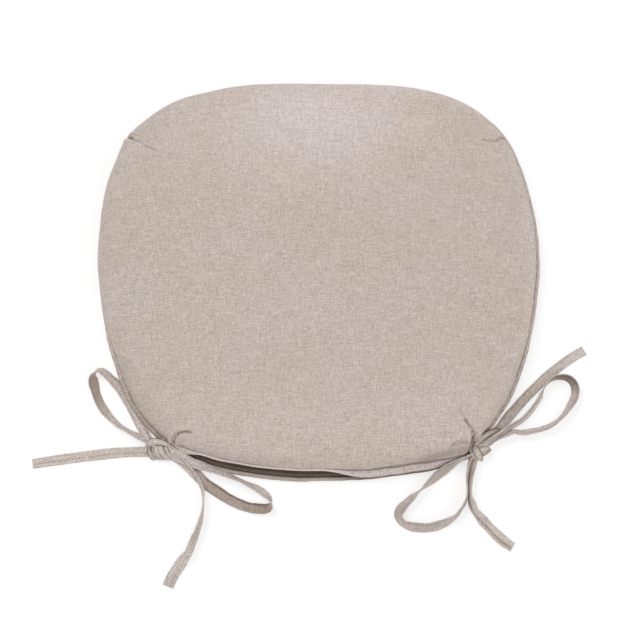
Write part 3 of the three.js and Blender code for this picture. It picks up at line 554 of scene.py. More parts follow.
class Graph:
    """A material and short ways to add nodes to it."""

    def __init__(self, name):
        self.material = bpy.data.materials.new(name)
        self.material.use_nodes = True
        self.tree = self.material.node_tree
        self.output = self.tree.nodes["Material Output"]
        self.bsdf = self.tree.nodes["Principled BSDF"]

    def node(self, kind, **settings):
        node = self.tree.nodes.new(kind)
        for key, value in settings.items():
            setattr(node, key, value)
        return node

    def feed(self, socket, value):
        if isinstance(value, Value):
            self.tree.links.new(value.socket, socket)
        else:
            socket.default_value = value

    def math(self, operation, *values):
        node = self.node("ShaderNodeMath", operation=operation)
        for socket, value in zip(node.inputs, values):
            self.feed(socket, value)
        return Value(self, node.outputs[0])

    def ramp(self, x, start, end, low=0.0, high=1.0):
        """Smoothly from low at start to high at end."""
        node = self.node("ShaderNodeMapRange", interpolation_type="SMOOTHSTEP")
        for i, value in enumerate((x, start, end, low, high)):
            self.feed(node.inputs[i], value)
        return Value(self, node.outputs[0])

    def vec(self, x, y, z):
        node = self.node("ShaderNodeCombineXYZ")
        for socket, value in zip(node.inputs, (x, y, z)):
            self.feed(socket, value)
        return Value(self, node.outputs[0])

    def split(self, vector):
        node = self.node("ShaderNodeSeparateXYZ")
        self.feed(node.inputs[0], vector)
        return [Value(self, out) for out in node.outputs]

    def noise(self, vector, scale=1.0, detail=2.0, roughness=0.5):
        node = self.node("ShaderNodeTexNoise")
        node.inputs["Scale"].default_value = scale
        node.inputs["Detail"].default_value = detail
        node.inputs["Roughness"].default_value = roughness
        self.feed(node.inputs["Vector"], vector)
        return Value(self, node.outputs[0])

    def mix(self, weight, a, b, kind="MIX"):
        node = self.node("ShaderNodeMix", data_type="RGBA", blend_type=kind)
        for i, value in ((0, weight), (6, a), (7, b)):
            self.feed(node.inputs[i], value)
        return Value(self, node.outputs[2])

    def tint(self, color, by):
        return self.mix(1.0, color, by, kind="MULTIPLY")

    def shade(self, color, factor):
        """Multiplies a colour by a plain value."""
        grey = self.node("ShaderNodeCombineColor")
        for i in range(3):
            self.feed(grey.inputs[i], factor)
        return self.tint(color, Value(self, grey.outputs[0]))

    def cloth(self):
        """Cloth coordinates: along, across and layer."""
        node = self.node("ShaderNodeAttribute", attribute_name="cloth")
        return self.split(Value(self, node.outputs["Vector"]))

    def tone(self):
        node = self.node("ShaderNodeAttribute", attribute_name="tone")
        return Value(self, node.outputs["Fac"])

    def place(self):
        return Value(self, self.node("ShaderNodeTexCoord").outputs["Object"])

    def finish(self, color, roughness, bump=None, strength=0.3, distance=0.0003,
               metallic=0.0, sheen=0.0, specular=0.3):
        inputs = self.bsdf.inputs
        self.feed(inputs["Base Color"], color)
        self.feed(inputs["Roughness"], roughness)
        inputs["Metallic"].default_value = metallic
        inputs["Specular IOR Level"].default_value = specular
        if sheen:
            inputs["Sheen Weight"].default_value = sheen
            inputs["Sheen Roughness"].default_value = 0.6
        if bump is not None:
            node = self.node("ShaderNodeBump")
            node.inputs["Strength"].default_value = strength
            node.inputs["Distance"].default_value = distance
            self.feed(node.inputs["Height"], bump)
            self.feed(inputs["Normal"], Value(self, node.outputs[0]))
        return self.material


def linen(name, warm, cool, fleck=0.36, pitch=0.62, contrast=1.0):
    """Plain weave: uneven yarns with slubs, flecks of darker fibre and soft tonal patches.
    Added to the layer, each number moves its noise to a place of its own."""
    g = Graph(name)
    u, v, layer = g.cloth()
    tone = g.tone()

    # the yarns wander up to 0.8 mm to each side, slowly
    slow, swing = 0.11, 1.6
    drift_u = g.noise(g.vec(u * slow, v * slow, layer))
    drift_v = g.noise(g.vec(v * slow, u * slow, layer + 7.3))
    yarn_u = u + (drift_u - 0.5) * swing
    yarn_v = v + (drift_v - 0.5) * swing

    # over and under: warp on top where both waves have the same sign
    wave_u = g.math("SINE", yarn_u * (math.pi / pitch))
    wave_v = g.math("SINE", yarn_v * (math.pi / pitch))
    warp_up = g.math("GREATER_THAN", wave_u * wave_v, 0.0)

    def woven(warp, weft):
        return warp * warp_up + weft * (1.0 - warp_up)

    size_u, size_v = g.math("ABSOLUTE", wave_u), g.math("ABSOLUTE", wave_v)
    steep, flat = 0.75, 0.35  # powers that round a yarn across and along itself
    dome = woven(size_u**steep * size_v**flat, size_u**flat * size_v**steep)

    # each yarn has its own tone that drifts along it
    apart, along = 3.71, 0.09
    index_u = g.math("FLOOR", yarn_u / pitch)
    index_v = g.math("FLOOR", yarn_v / pitch)
    yarn = woven(g.noise(g.vec(index_u * apart, yarn_v * along, layer + 3.0)),
                 g.noise(g.vec(yarn_u * along, index_v * apart, layer + 19.0)))

    def streaks(per_u, per_v, offset, scale=1.0):
        return g.noise(g.vec(yarn_u * per_u, yarn_v * per_v, layer + offset), scale, detail=1)

    # slubs: thicker stretches a few yarns wide, in both directions
    slub = ((streaks(per_u=0.22, per_v=1.5, offset=41.0) - 0.5)
            + (streaks(per_u=1.5, per_v=0.22, offset=57.0) - 0.5))
    grain = g.noise(g.vec(yarn_u, yarn_v, layer + 77.0), scale=2.3, detail=1, roughness=0.6) - 0.5
    slub_gain, grain_gain, yarn_gain = 0.48 * contrast, 2.7 * contrast, 1.15 * contrast
    uneven = slub * slub_gain + grain * grain_gain
    uneven = uneven + (yarn - 0.5) * yarn_gain
    # a few long coarse threads, pale and dark
    threads = streaks(per_u=0.07, per_v=1.2, offset=113.0)
    uneven = uneven + (g.ramp(threads, 0.66, 0.74, high=0.11 * contrast)
                       - g.ramp(threads, 0.34, 0.26, high=0.13 * contrast))

    flecks = g.ramp(streaks(per_u=0.5, per_v=1.0, offset=93.0, scale=0.9), 0.72, 0.80, high=fleck)
    gaps = g.ramp(dome, 0.0, 0.45, low=0.80, high=1.03)
    broad = 0.012  # patches per mm
    patch = g.noise(g.vec(u * broad, v * broad, layer + 5.0), detail=3, roughness=0.55)
    base = g.mix(g.ramp(patch, 0.36, 0.66), warm, cool)
    color = g.shade(base, (1.0 + uneven) * (1.0 - flecks) * gaps * tone)
    # painted shade goes browner, painted highlights a little cooler
    brown, pale = (1.0, 0.86, 0.76, 1.0), (0.985, 1.0, 1.075, 1.0)
    color = g.mix(g.ramp(tone, 0.95, 0.35), color, g.tint(color, brown))
    color = g.mix(g.ramp(tone, 1.0, 1.16), color, g.tint(color, pale))
    slub_height = 0.35
    return g.finish(color, g.ramp(yarn, 0.2, 0.8, low=0.82, high=0.97),
                    bump=dome + slub * slub_height,
                    strength=0.5, distance=0.00016, sheen=0.12, specular=0.18)


def twill(name, base, dark, pitch=0.7, stripe=4.0):
    """Woven zip tape: fine herringbone, its diagonals turning at each half stripe."""
    g = Graph(name)
    u, v, _ = g.cloth()
    zigzag = g.math("ABSOLUTE", g.math("FLOORED_MODULO", v, stripe) - stripe / 2)
    diagonal = g.math("SINE", (u + zigzag) * (2 * math.pi / pitch))
    blotch = g.noise(g.vec(u, v, 3.0), scale=0.8)
    blotch_gain = 0.3
    factor = (g.ramp(diagonal, -1, 1, low=0.78) + (blotch - 0.5) * blotch_gain) * g.tone()
    color = g.shade(g.mix(g.ramp(blotch, 0.3, 0.7), base, dark), factor)
    return g.finish(color, g.ramp(blotch, 0.3, 0.7, low=0.7, high=0.9), bump=diagonal,
                    strength=0.4, distance=0.0002)


def nylon(name, base):
    g = Graph(name)
    u, v, _ = g.cloth()
    blotch = g.noise(g.vec(u, v, 5.0), scale=1.3)
    color = g.shade(base, g.ramp(blotch, 0.25, 0.75, low=0.82, high=1.08))
    return g.finish(color, g.ramp(blotch, 0.3, 0.7, low=0.32, high=0.5), bump=blotch,
                    strength=0.15, distance=0.0001, specular=0.45)


def brass(name):
    """Aged brass with level scratches and dull blotches."""
    g = Graph(name)
    place = g.place()
    x, y, z = g.split(place)
    per_metre, per_metre_up = 900.0, 9000.0
    scratch = g.noise(g.vec(x * per_metre, y * per_metre, z * per_metre_up), detail=3)
    blotch = g.noise(place, scale=420.0, detail=3)
    bright, dull = (0.45, 0.30, 0.13, 1), (0.26, 0.17, 0.08, 1)
    color = g.mix(g.ramp(blotch, 0.4, 0.7), bright, dull)
    roughness = (g.ramp(scratch, 0.3, 0.7, low=0.26, high=0.42)
                 + g.ramp(blotch, 0.5, 0.8, high=0.18))
    return g.finish(color, roughness, bump=scratch, strength=0.12, distance=0.00005,
                    metallic=1.0, specular=0.5)


def filling(name, base, scale, depth):
    g = Graph(name)
    fibre = g.noise(g.place(), scale=scale, detail=4, roughness=0.65)
    color = g.shade(base, g.ramp(fibre, 0.3, 0.7, low=0.86, high=1.04))
    return g.finish(color, 0.95, bump=fibre, strength=0.5, distance=depth, sheen=0.2)


COVER = linen("linen_cover", warm=srgb(206, 191, 180), cool=srgb(207, 194, 187))
UNDER = linen("linen_under", warm=srgb(198, 183, 173), cool=srgb(201, 188, 182), fleck=0.32)
STRAP = linen("linen_strap", warm=srgb(209, 196, 186), cool=srgb(210, 199, 194),
              pitch=0.55, contrast=0.95)
nylon("stitch_thread", base=srgb(176, 158, 147))  # a spare, on no piece
TAPE = twill("zip_tape_twill", base=srgb(186, 150, 134), dark=srgb(164, 130, 116))
COIL = nylon("zip_coil_nylon", base=srgb(146, 118, 104))
METAL = brass("zip_brass")
FOAM = filling("foam_cells", base=srgb(238, 234, 222), scale=900.0, depth=0.0006)
WADDING = filling("wadding_fibre", base=srgb(236, 233, 226), scale=260.0, depth=0.0012)
CORD = filling("cotton_cord", base=srgb(228, 221, 208), scale=1500.0, depth=0.0003)

# ------------------------------------------------------------------ top panel
# Sections are inset and height, from the seam upwards.
RIM_END = (REACH, RIM_Z)
SIDE_PLAIN = [(8.6, 6.3), (4.2, 6.6), (2.4, 10.4), (1.8, 15.6), (4.6, 21.2), (11.0, 25.6),
              (23, 28.2), RIM_END]
SIDE_SLOPED = [(8.6, 6.3), (3.9, 6.5), (4.9, 9.2), (7.4, 13.8), (10.6, 18.9), (16.4, 23.8),
               (25.5, 27.5), RIM_END]
SIDE_FULL = [(8.6, 6.3), (4.1, 6.6), (0.2, 9.6), (-1.6, 14.6), (0.9, 20.6), (7.8, 25.6),
             (21, 28.6), RIM_END]
MOUTH_OPEN = [(10.6, 11.6), (8.9, 12.1), (8.6, 13.4), (9.4, 16.6), (11.7, 20.6), (16.2, 24.6),
              (25.0, 27.9), RIM_END]
MOUTH_SHUT = [(9.6, 9.0), (7.4, 9.6), (6.7, 12.2), (7.0, 16.0), (9.6, 20.8), (15.2, 25.0),
              (25.0, 28.1), RIM_END]
# Plan angle, and -1 where the side slopes in and shows the piping, +1 where it swells over it.
FULLNESS = [
    (-180, 0.4), (-168, 0.25), (-160, -0.35), (-150, -0.75), (-138, -0.9), (-128, -0.6),
    (-60, -0.6), (-50, -0.35), (-44, -0.12), (-38, -0.25), (-33, -0.42), (-27, -0.5),
    (20, -0.5), (38, -0.55), (47, -0.35), (60, 0.0), (120, 0.1), (133, 0.3), (139, 0.75),
    (150, 0.7), (160, 0.6), (175, 0.5), (180, 0.4),
]
# x along the near edge, and how far the flap's seam is drawn outwards beside the right tie.
PINCH = [(76, 0), (90, 0.3), (98, 0.7), (104, 1.3), (108, 2.1), (113, 3.1), (117, 3.8),
         (121, 4.3), (126, 4.6), (134, 4.6)]
PINCH_SHARE = np.array([1, 1, 1, 1, 0.85, 0.5, 0.15, 0])  # by point of the section
# Creases in the top: plan points, depth, half width, height of the shoulders as a share of depth.
CREASES = [
    ([(-181, 130.5), (-174.5, 127.5), (-167.5, 122.0)], 1.9, 1.3, 0.45),
    ([(-169, 122.5), (-160, 117.5), (-151, 112.0), (-143, 108.0)], 0.45, 1.5, 0.5),
    ([(-178, 132.5), (-169, 129.0), (-161, 124.6)], 0.5, 1.6, 0.2),
    ([(178, 131), (169.0, 126.4), (161.0, 120.8)], 1.5, 1.5, 0.7),
    ([(161.0, 120.8), (154, 121.6), (146, 121.0)], 0.5, 1.8, 0.3),
    ([(-126.8, -173.5), (-125.3, -167.8), (-125.3, -163.6), (-124.1, -159.4), (-121.5, -155.0),
      (-119.2, -151.4)], 2.9, 1.25, 0.7),
    ([(-120.7, -155.8), (-116.8, -153.7), (-112.5, -153.7), (-105.9, -155.1)], 1.2, 1.2, 0.6),
    ([(-128, -148), (-121, -141), (-116, -131)], 0.35, 3.0, 0.3),
    ([(-117, -147), (-109, -139), (-104, -128)], 0.3, 3.0, 0.3),
    ([(128.6, -172), (131.0, -163.5), (132.4, -157.5), (131.6, -152.6), (128.0, -147.4)],
     2.8, 1.8, 0.7),
    ([(130.2, -150.2), (126.6, -145.8), (123.6, -140.5)], 1.0, 1.4, 0.4),
    ([(124.5, -141.8), (121.8, -136.5), (119.0, -132.0)], 0.4, 1.8, 0.3),
    ([(128.5, -165.5), (117, -169.2), (104, -172.6), (90, -176.2), (76, -179.0)],
     0.9, 3.2, 0.5),
    ([(127.5, -161.5), (118, -163.0), (109, -166.4)], 0.7, 2.0, 0.4),
    ([(-197, 60), (-186, 62), (-172, 60.5)], 0.3, 2.6, 0.25),
    ([(-182.6, -46.6), (-173.8, -45.7), (-162.6, -43.2)], -0.5, 1.5, 0.3),
    ([(162.8, -64.8), (169.8, -64.1), (177.7, -63.9)], -0.4, 1.3, 0.3),
    ([(165, -52), (174, -54), (184, -58)], 0.35, 2.4, 0.25),
]


def pinch(s):
    x = edge_x(s)
    return on_near_edge(s, np.interp(x, *np.transpose(PINCH)) * (1 - smooth(x, 128, 137)))


def panel_section(s):
    full = np.interp(plan_angle(pick(EDGE, s)), *np.transpose(FULLNESS))[:, None, None]
    side = (np.asarray(SIDE_PLAIN) * (1 - np.abs(full))
            + np.asarray(SIDE_FULL) * np.maximum(full, 0)
            + np.asarray(SIDE_SLOPED) * np.maximum(-full, 0))
    shut = closed_weight(s)[:, None, None]
    mouth = np.asarray(MOUTH_OPEN) * (1 - shut) + np.asarray(MOUTH_SHUT) * shut
    mouth[..., 0] -= pinch(s)[:, None] * PINCH_SHARE
    return mouth_blend(s, side, mouth)


def crown(k):
    """Height of the top at a share k of the way from the centre to the rim."""
    return CROWN_Z + (RIM_Z - CROWN_Z) * k * k * (1.35 - 0.35 * k)


def crease_offset(x, y):
    """Outward offset, and painted shade in the creases and a painted highlight on raised wrinkles,
    at plan places.
    """
    offset, dark = np.zeros_like(x), np.zeros_like(x)
    margin = 14
    for points, depth, half, shoulder in CREASES:
        line, _ = resample(catmull(points, sub=10), step=1.0, dims=2)
        (x0, y0), (x1, y1) = line.min(0) - margin, line.max(0) + margin
        box = (x > x0) & (x < x1) & (y > y0) & (y < y1)
        if not box.any():
            continue
        dist = np.full(x[box].shape, 1e9)
        where = np.zeros(dist.shape)
        for i, (px, py) in enumerate(line):
            r = np.hypot(x[box] - px, y[box] - py)
            closer = r < dist
            dist[closer] = r[closer]
            where[closer] = i / (len(line) - 1)
        fade = (smooth(where, -0.05, 0.06) * (1 - smooth(where, 0.72, 1.0))
                * (1 - 0.2 * noise(where * 5, 0, 91)))
        valley = bell(dist, half)
        ridge = bell(dist - 2.6 * half, 1.5 * half)
        offset[box] += fade * (-depth * valley + shoulder * ridge * depth)
        if depth < 0:  # a raised wrinkle catches the light
            dark[box] -= 0.14 * fade * valley
        else:
            strength = min(1, depth / 1.2) ** 1.2 * min(1, 1.7 / half) ** 1.5
            dark[box] = np.maximum(dark[box], fade * bell(dist, 0.72 * half) * strength)
    return offset, dark


def painted_top_light(x, y):
    """Slow change of painted light over the top: a painted highlight palest near the middle of the
    far edge, a little darker to the left and a little lighter towards the near edge.
    """
    return (0.955 + 0.19 * np.exp(-((x / 82) ** 2 + ((y - 152) / 60) ** 2))
            - 0.02 * smooth(-x, 110, 190) + 0.03 * smooth(-y, 90, 150))


def rim_painted_light(s, run, inset):
    """Painted light and shade near the edge, by length of cloth from the seam and by inset."""
    x = edge_x(s)
    angle = plan_angle(pick(EDGE, s))
    mouth = mouth_weight(s)
    # painted shade of a soft fold above the stitched flap
    fold = mouth * smooth(x, 8, 72) * (1 - 0.7 * smooth(x, 92, 122))
    tone = 1 - ((0.42 - 0.10 * smooth(x, 70, 95)) * fold
                * bell(run - 3.2, 3.4 - 0.6 * smooth(x, 70, 100)))
    # painted shade along the near edge towards the right corner
    corner = on_near_edge(s, smooth(x, 84, 118)) * (1 - smooth(x, 128, 150))
    tone = tone * (1 - 0.10 * corner * bell(run - 10, 6.5))
    # painted highlight where the drawn-out cloth above the flap's right end catches the light
    drawn = on_near_edge(s, smooth(x, 86, 104)) * (1 - smooth(x, 128, 142))
    tone = tone * (1 + 0.10 * drawn * bell(run - 5.0, 4.2))
    # painted shade in the crevice beside the piping
    tone = tone * (1 - 0.50 * (1 - mouth) * bell(run - 4.3, 1.7))
    # painted shadow of the tie over the near right corner
    shade = np.interp(angle, [-54, -50, -42, -32], [0, 1, 0.7, 0])
    tone = tone * (1 - 0.26 * shade * (1 - mouth) * bell(np.maximum(run - 5.0, 0), 6.5))
    # a painted highlight band inside the right-hand seam, where the sloped side catches the light
    pale = np.interp(angle, [-60, -40, -25, 40, 70, 85], [0, 0.3, 1, 1, 0.9, 0])
    return tone * (1 + 0.10 * pale * bell(inset - 9, 6.0))


def relief(x, y):
    """Lie of the cloth over the filling: slow swells and faint wrinkles."""
    return (0.55 * noise(x / 88 + 3, y / 95 + 9, 1) + 0.28 * noise(x / 41, y / 37, 2)
            + 0.10 * noise(x / 17, y / 19, 3))


def even_sections(sections, rows, sub):
    """Inset, height and length from the seam at evenly spaced points of every section."""
    out = [resample(catmull(section, sub=sub), count=rows, dims=2) for section in sections]
    points = np.array([p for p, _ in out])
    return points[..., 0], points[..., 1], np.array([run for _, run in out])


def rim_cloth(s, run, layer):
    """Cloth coordinates of the rim, laid flat outwards from its inner end."""
    flat = REACH - (run[:, -1:] - run)
    return add_z(pick(EDGE, s) + pick(EDGE_INWARD, s) * flat[..., None], layer)


def swept_panel(columns, rows, top_rings, lining_rows, lining_rings, drop=0.0, creased=True):
    """The top's skin: outer surface from the centre out to the seam, then a coarser inner one.
    Rings are (share of the way to the rim, columns), lining rows (row, columns)."""
    s = (np.arange(columns) / columns)[:, None]
    inset, height, run = even_sections(panel_section(s[:, 0]), rows, sub=10)
    d_inset, d_height = np.gradient(inset, axis=1), np.gradient(height, axis=1)
    size = np.hypot(d_inset, d_height) + 1e-9
    normal_inset, normal_z = -d_height / size, d_inset / size

    arc = s * PERIMETER
    amount = 0.30 * np.exp(-((run - 3) ** 2) / 30) + 0.16 * np.exp(-run / 14)
    pucker = noise(arc / 5.5, run / 22, 11) + 0.55 * noise(arc / 2.9, run / 12, 12)
    out = amount * pucker * (1 - 0.45 * mouth_weight(s)) - drop
    plan = inward(s, inset)
    x, y = plan[..., 0], plan[..., 1]
    dark = np.zeros_like(x)
    if creased:
        offset, dark = crease_offset(x, y)
        clear_of_seam = smooth(height, 6.5, 9)
        dark = dark * clear_of_seam
        out = out + offset * clear_of_seam
    out = out + relief(x, y) * smooth(run, 2, 12)

    def surface(lift):
        return add_z(inward(s, inset + normal_inset * lift), height + normal_z * lift)

    outer, lining = surface(out), surface(out - LINEN_T)
    cloth = rim_cloth(s, run, 0.0)
    # painted shade in the creases, painted light over the top, painted shade and highlights near
    # the rim
    tone = (1 - 0.82 * dark) * painted_top_light(outer[..., 0], outer[..., 1]) * rim_painted_light(s, run, inset)
    skin = Rings()

    def inner_ring(k, count, down=0.0):
        place = inward(np.arange(count) / count, REACH) * k
        px, py = place.T
        z = crown(k) + relief(px, py) - drop - down
        ring_dark = 0.0
        if creased and not down:
            offset, ring_dark = crease_offset(px, py)
            z = z + offset
        skin.add(add_z(place, z), add_z(place, 0.0), (1 - 0.82 * ring_dark) * painted_top_light(px, py))

    centre_z = crown(0) + float(relief(0, 0)) - drop
    skin.pole(centre_z, 0.0)
    for k, count in reversed(top_rings):
        inner_ring(k, count)
    for i in range(rows - 1, -1, -1):
        skin.add(outer[:, i], cloth[:, i], tone[:, i])
    for i, count in lining_rows:
        step = columns // count
        skin.add(lining[::step, i], cloth[::step, i] + (0.0, 0.0, 3.0))
    for k, count in lining_rings:
        inner_ring(k, count, down=LINEN_T)
    skin.pole(centre_z - LINEN_T, 0.0)
    return skin.skin()


def build_top(n=1216, rows=46):
    def count(k):
        """Fewer columns towards the centre."""
        return n // (2 if k >= 0.52 else 4 if k >= 0.27 else 8 if k >= 0.13 else 16)

    spacing = 2.3 / 165
    top_rings = [(k, count(k)) for k in (1 - i * spacing for i in range(1, 71))]
    lining_rows = [(1, n // 2), (3, n // 4)] + [(i, n // 4) for i in range(6, rows, 4)]
    lining_rings = [(0.96, n // 4), (0.85, n // 8), (0.7, n // 8), (0.5, n // 16),
                    (0.3, n // 16), (0.12, n // 16)]
    skin = swept_panel(n, rows, top_rings, lining_rows, lining_rings)
    stand_in(make("top_panel_linen", COVER, *skin), "top_panel")


# ------------------------------------------------------------------ fillings
def build_wadding(n=160, rows=18):
    """Follows the soft shape of the top, so it never shows through."""
    skin = swept_panel(n, rows, [(k, n) for k in (0.9, 0.75, 0.6, 0.45, 0.3, 0.15)],
                       [(i, n) for i in range(1, rows, 3)], [(k, n) for k in (0.9, 0.6, 0.3)],
                       drop=2.2, creased=False)
    stand_in(make("wadding_soft", WADDING, *skin), "wadding_layer")


FOAM_TOP, FOAM_BOTTOM, FOAM_DOME = 25.2, 1.6, 1.3
FOAM_SIDE = [(30, 23.6), (19, 22.6), (15.5, 19.0), (13.0, 14.0), (12.0, 9.0), (12.8, 5.0),
             (15.5, 2.6), (20, FOAM_BOTTOM)]
FOAM_MOUTH = [(30, 23.0), (24, 21.8), (21.5, 19.0), (20.5, 14.0), (20.0, 9.0), (20.0, 5.0),
              (20.5, 2.6), (24, FOAM_BOTTOM)]


def build_foam(n=192):
    s = np.arange(n) / n
    skin = Rings()

    def ring(plan, z):
        points = add_z(plan, z)
        skin.add(points, points)

    skin.pole(FOAM_TOP, FOAM_TOP)
    for k in (0.12, 0.3, 0.5, 0.7, 0.88):
        ring(inward(s, REACH) * k, FOAM_TOP - FOAM_DOME * k * k)
    for inset, z in mouth_blend(s, FOAM_SIDE, FOAM_MOUTH).transpose(1, 2, 0):
        ring(inward(s, inset), z)
    for k in (0.8, 0.4):
        ring(inward(s, REACH) * k, FOAM_BOTTOM)
    skin.pole(FOAM_BOTTOM, FOAM_BOTTOM)
    stand_in(make("foam_block", FOAM, *skin.skin()), "foam_core")


# ------------------------------------------------------------------ bottom panel
FLOOR_Z, UNDER_T = 0.05, 0.8
BOTTOM_SIDE = [(8.4, 5.2), (3.7, 4.6), (5.4, 2.6), (8.2, 1.3), (11.5, 0.45), (17, 0.12),
               (26, FLOOR_Z), (REACH, FLOOR_Z)]
BOTTOM_MOUTH = [(6.0, 0.9), (5.0, 0.85), (4.6, 0.5), (5.4, 0.2), (8.5, 0.08), (15, 0.06),
                (26, FLOOR_Z), (REACH, FLOOR_Z)]


def bottom_relief(plan):
    x, y = plan[..., 0], plan[..., 1]
    return (0.35 * np.maximum(0, noise(x / 60, y / 55, 22))
            + 0.12 * np.maximum(0, noise(x / 21, y / 23, 23)))


def build_bottom(n=800, rows=26):
    """Flat on the floor, its rim drawn up to the piping; at the opening it stays flat."""
    under, upper = 9.0, 12.0  # cloth layers of its two faces
    s = (np.arange(n) / n)[:, None]
    sections = mouth_blend(s[:, 0], BOTTOM_SIDE, BOTTOM_MOUTH)
    inset, height, run = even_sections(sections, rows, sub=8)
    pucker = (np.exp(-run / 9) * 0.35 * np.abs(noise(s * PERIMETER / 6.5, run / 20, 21))
              * smooth(run, 1.0, 4.0))
    plan = inward(s, inset)
    rim = add_z(plan, height + pucker + bottom_relief(plan) * smooth(run, 4, 18))
    cloth = rim_cloth(s, run, under)
    skin = Rings()

    def flat(k, count, up, layer):
        place = inward(np.arange(count) / count, REACH) * k
        skin.add(add_z(place, FLOOR_Z + bottom_relief(place) + up), add_z(place, layer))

    skin.pole(FLOOR_Z, under)
    for k in np.arange(0.97, 0.05, -0.028)[::-1]:
        flat(k, n // (2 if k > 0.5 else 4 if k > 0.25 else 8), 0.0, under)
    for i in range(rows - 1, -1, -1):
        skin.add(rim[:, i], cloth[:, i])
    for i, count in ((3, n // 2), (7, n // 4), (13, n // 4), (20, n // 4)):
        step = n // count
        lift = add_z(pick(EDGE_INWARD, s[::step, 0]) * 0.5, UNDER_T)
        skin.add(rim[::step, i] + lift, cloth[::step, i] + (0.0, 0.0, upper - under))
    for k, count in ((0.9, n // 4), (0.6, n // 8), (0.3, n // 8)):
        flat(k, count, UNDER_T, upper)
    skin.pole(FLOOR_Z + UNDER_T, upper)
    bottom = make("bottom_panel_linen", UNDER, *skin.skin())
    stand_in(bottom, "bottom_panel")


# ------------------------------------------------------------------ piping
def build_piping(n=1150, sides=16, end_gap=0.0018):
    """The covered cord from tie to tie round the far side, thinner at its ends."""
    s = np.linspace(TIE_S + end_gap, 1 - TIE_S - end_gap, n)[:, None]
    a = np.arange(sides) / sides * 2 * math.pi
    arc = s * PERIMETER
    skewed = arc + a * 2.3
    ends = np.minimum(smooth(s, s[0] - 1e-4, s[0] + 0.004),
                      1 - smooth(s, s[-1] - 0.004, s[-1] + 1e-4))
    radius = (PIPING_R - 0.1 + 0.09 * noise(skewed / 2.1, a / 1.4, 31)
              + 0.12 * noise(skewed / 5.3, a / 2.2, 32)) * (0.55 + 0.45 * ends)
    wander = 0.35 * noise(arc / 26, 0, 33) + 0.15 * noise(arc / 9, 0, 34)
    inset = PIPING_R + wander + 1.0 * (1 - ends) - radius * np.cos(a)
    z = PIPING_Z + 0.35 * noise(arc / 31, 5, 35) + radius * np.sin(a)
    # the sleeve is cut on the bias
    around = a * PIPING_R
    bias = np.stack([(arc + around) * 0.7071, (arc - around) * 0.7071], 2)
    # painted shade on its sides and underneath, painted highlight along its crest
    tone = np.interp(np.degrees(a), [0, 40, 75, 110, 150, 200, 270, 330, 360],
                     [0.72, 0.92, 1.1, 1.06, 0.62, 0.55, 0.6, 0.6, 0.72])
    tone = np.clip(tone * (1 + 0.10 * noise(skewed / 3.3, a, 36)), 0.4, 1.2)
    # painted shade along the near side and round the near corners
    tone = tone * np.interp(plan_angle(pick(EDGE, s)),
                            [-180, -160, -142, -130, -100, -60, -45, -30, 180],
                            [1, 0.92, 0.74, 0.66, 0.66, 0.7, 0.78, 1, 1])
    pipe = make("piping_linen", COVER, *shell(add_z(inward(s, inset), z), add_z(bias, 21.0), tone))
    stand_in(pipe, "piping_sleeve")


# ------------------------------------------------------------------ opening: flap and lip
FLAP_TURNED = [(11.0, 11.9), (9.1, 12.7), (8.1, 13.5), (7.55, 13.2), (7.15, 12.4), (7.05, 11.6),
               (7.2, 10.9), (7.7, 10.5), (8.3, 10.6), (8.8, 11.0), (9.5, 11.3), (11.0, 11.3)]
FLAP_DOWN = [(10.0, 9.3), (8.0, 9.9), (6.7, 9.9), (5.9, 10.2), (4.4, 9.2), (2.6, 7.0),
             (1.3, 5.0), (0.9, 4.1), (1.5, 3.8), (3.2, 5.6), (5.6, 8.3), (10.0, 8.7)]
LIP_SECTION = [(0.5, 1.3), (0.55, 2.1), (0.95, 2.75), (1.6, 3.0), (2.5, 3.0), (3.2, 2.85),
               (3.75, 2.5), (4.0, 1.9), (4.6, 1.45), (5.8, 1.75), (7.0, 1.85), (8.2, 1.35),
               (12.0, 1.2), (12.0, 0.75), (8.0, 0.7), (4.6, 0.6), (2.4, 0.35), (1.1, 0.5)]
FLAP_STITCH = 3.0
MOUTH_S = np.linspace(s_at_x(-MOUTH_END_X), s_at_x(MOUTH_END_X), 560)[:, None]
MOUTH_ARC = MOUTH_S * PERIMETER


def build_flap(count=30):
    shut = closed_weight(MOUTH_S)
    turned, _ = resample_loop(FLAP_TURNED, count)
    down, _ = resample_loop(FLAP_DOWN, count)
    inset, z = down.T
    section = turned * (1 - shut[..., None]) + down * shut[..., None]
    wave = (0.28 * noise(MOUTH_ARC / 14, 0, 41)
            + 0.22 * noise(MOUTH_ARC / 5, 0, 42) * shut * np.linspace(0, 1, count)
            - pinch(MOUTH_S) * smooth(inset, 1.5, 6.6))
    points = add_z(inward(MOUTH_S, section[..., 0] + wave), section[..., 1])
    # needle holes pull the cloth in where the flap is stitched
    prick = (np.cos(2 * math.pi * MOUTH_ARC / FLAP_STITCH) * 0.5 + 0.5) ** 3
    groove = bell(inset - 6.6, 0.7) * (z > 9.2) * smooth(shut, 0.05, 0.4)
    hem = np.maximum(0, noise(MOUTH_ARC / 7, 3, 43)) * 0.3
    points[..., 2] += hem * smooth(shut, 0.5, 1) * (inset < 2) - (0.35 + 0.45 * prick) * groove
    # painted shade in the stitched groove
    tone = 1 - 0.42 * (prick * 0.7 + 0.3) * groove
    # painted highlights on the pressed fold and on the rolled edge where the flap is turned under;
    # painted shade on the free edge and the inside of the fold
    pressed = smooth(shut, 0.3, 0.9)
    tone = tone * (1 + 0.15 * pressed * ((inset > 1.6) & (inset < 6.2) & (z > 4.9)))
    tone = tone * (1 + 0.42 * (1 - shut) * bell(turned[:, 0] - 7.5, 0.7) * (turned[:, 1] > 11.4))
    tone = tone * (1 - 0.42 * pressed * bell(inset - 1.0, 0.45) * (z < 4.6))
    index = np.arange(count)
    tone = tone * np.where((index > 16) & (index < 28), 1.0 - 0.4 * shut, 1.0)
    cloth = weave(MOUTH_ARC[:, 0], lengths_along(down), 27.0)
    flap = make("placket_flap_linen", COVER, *shell(points, cloth, tone))
    stand_in(flap, "placket_flap")


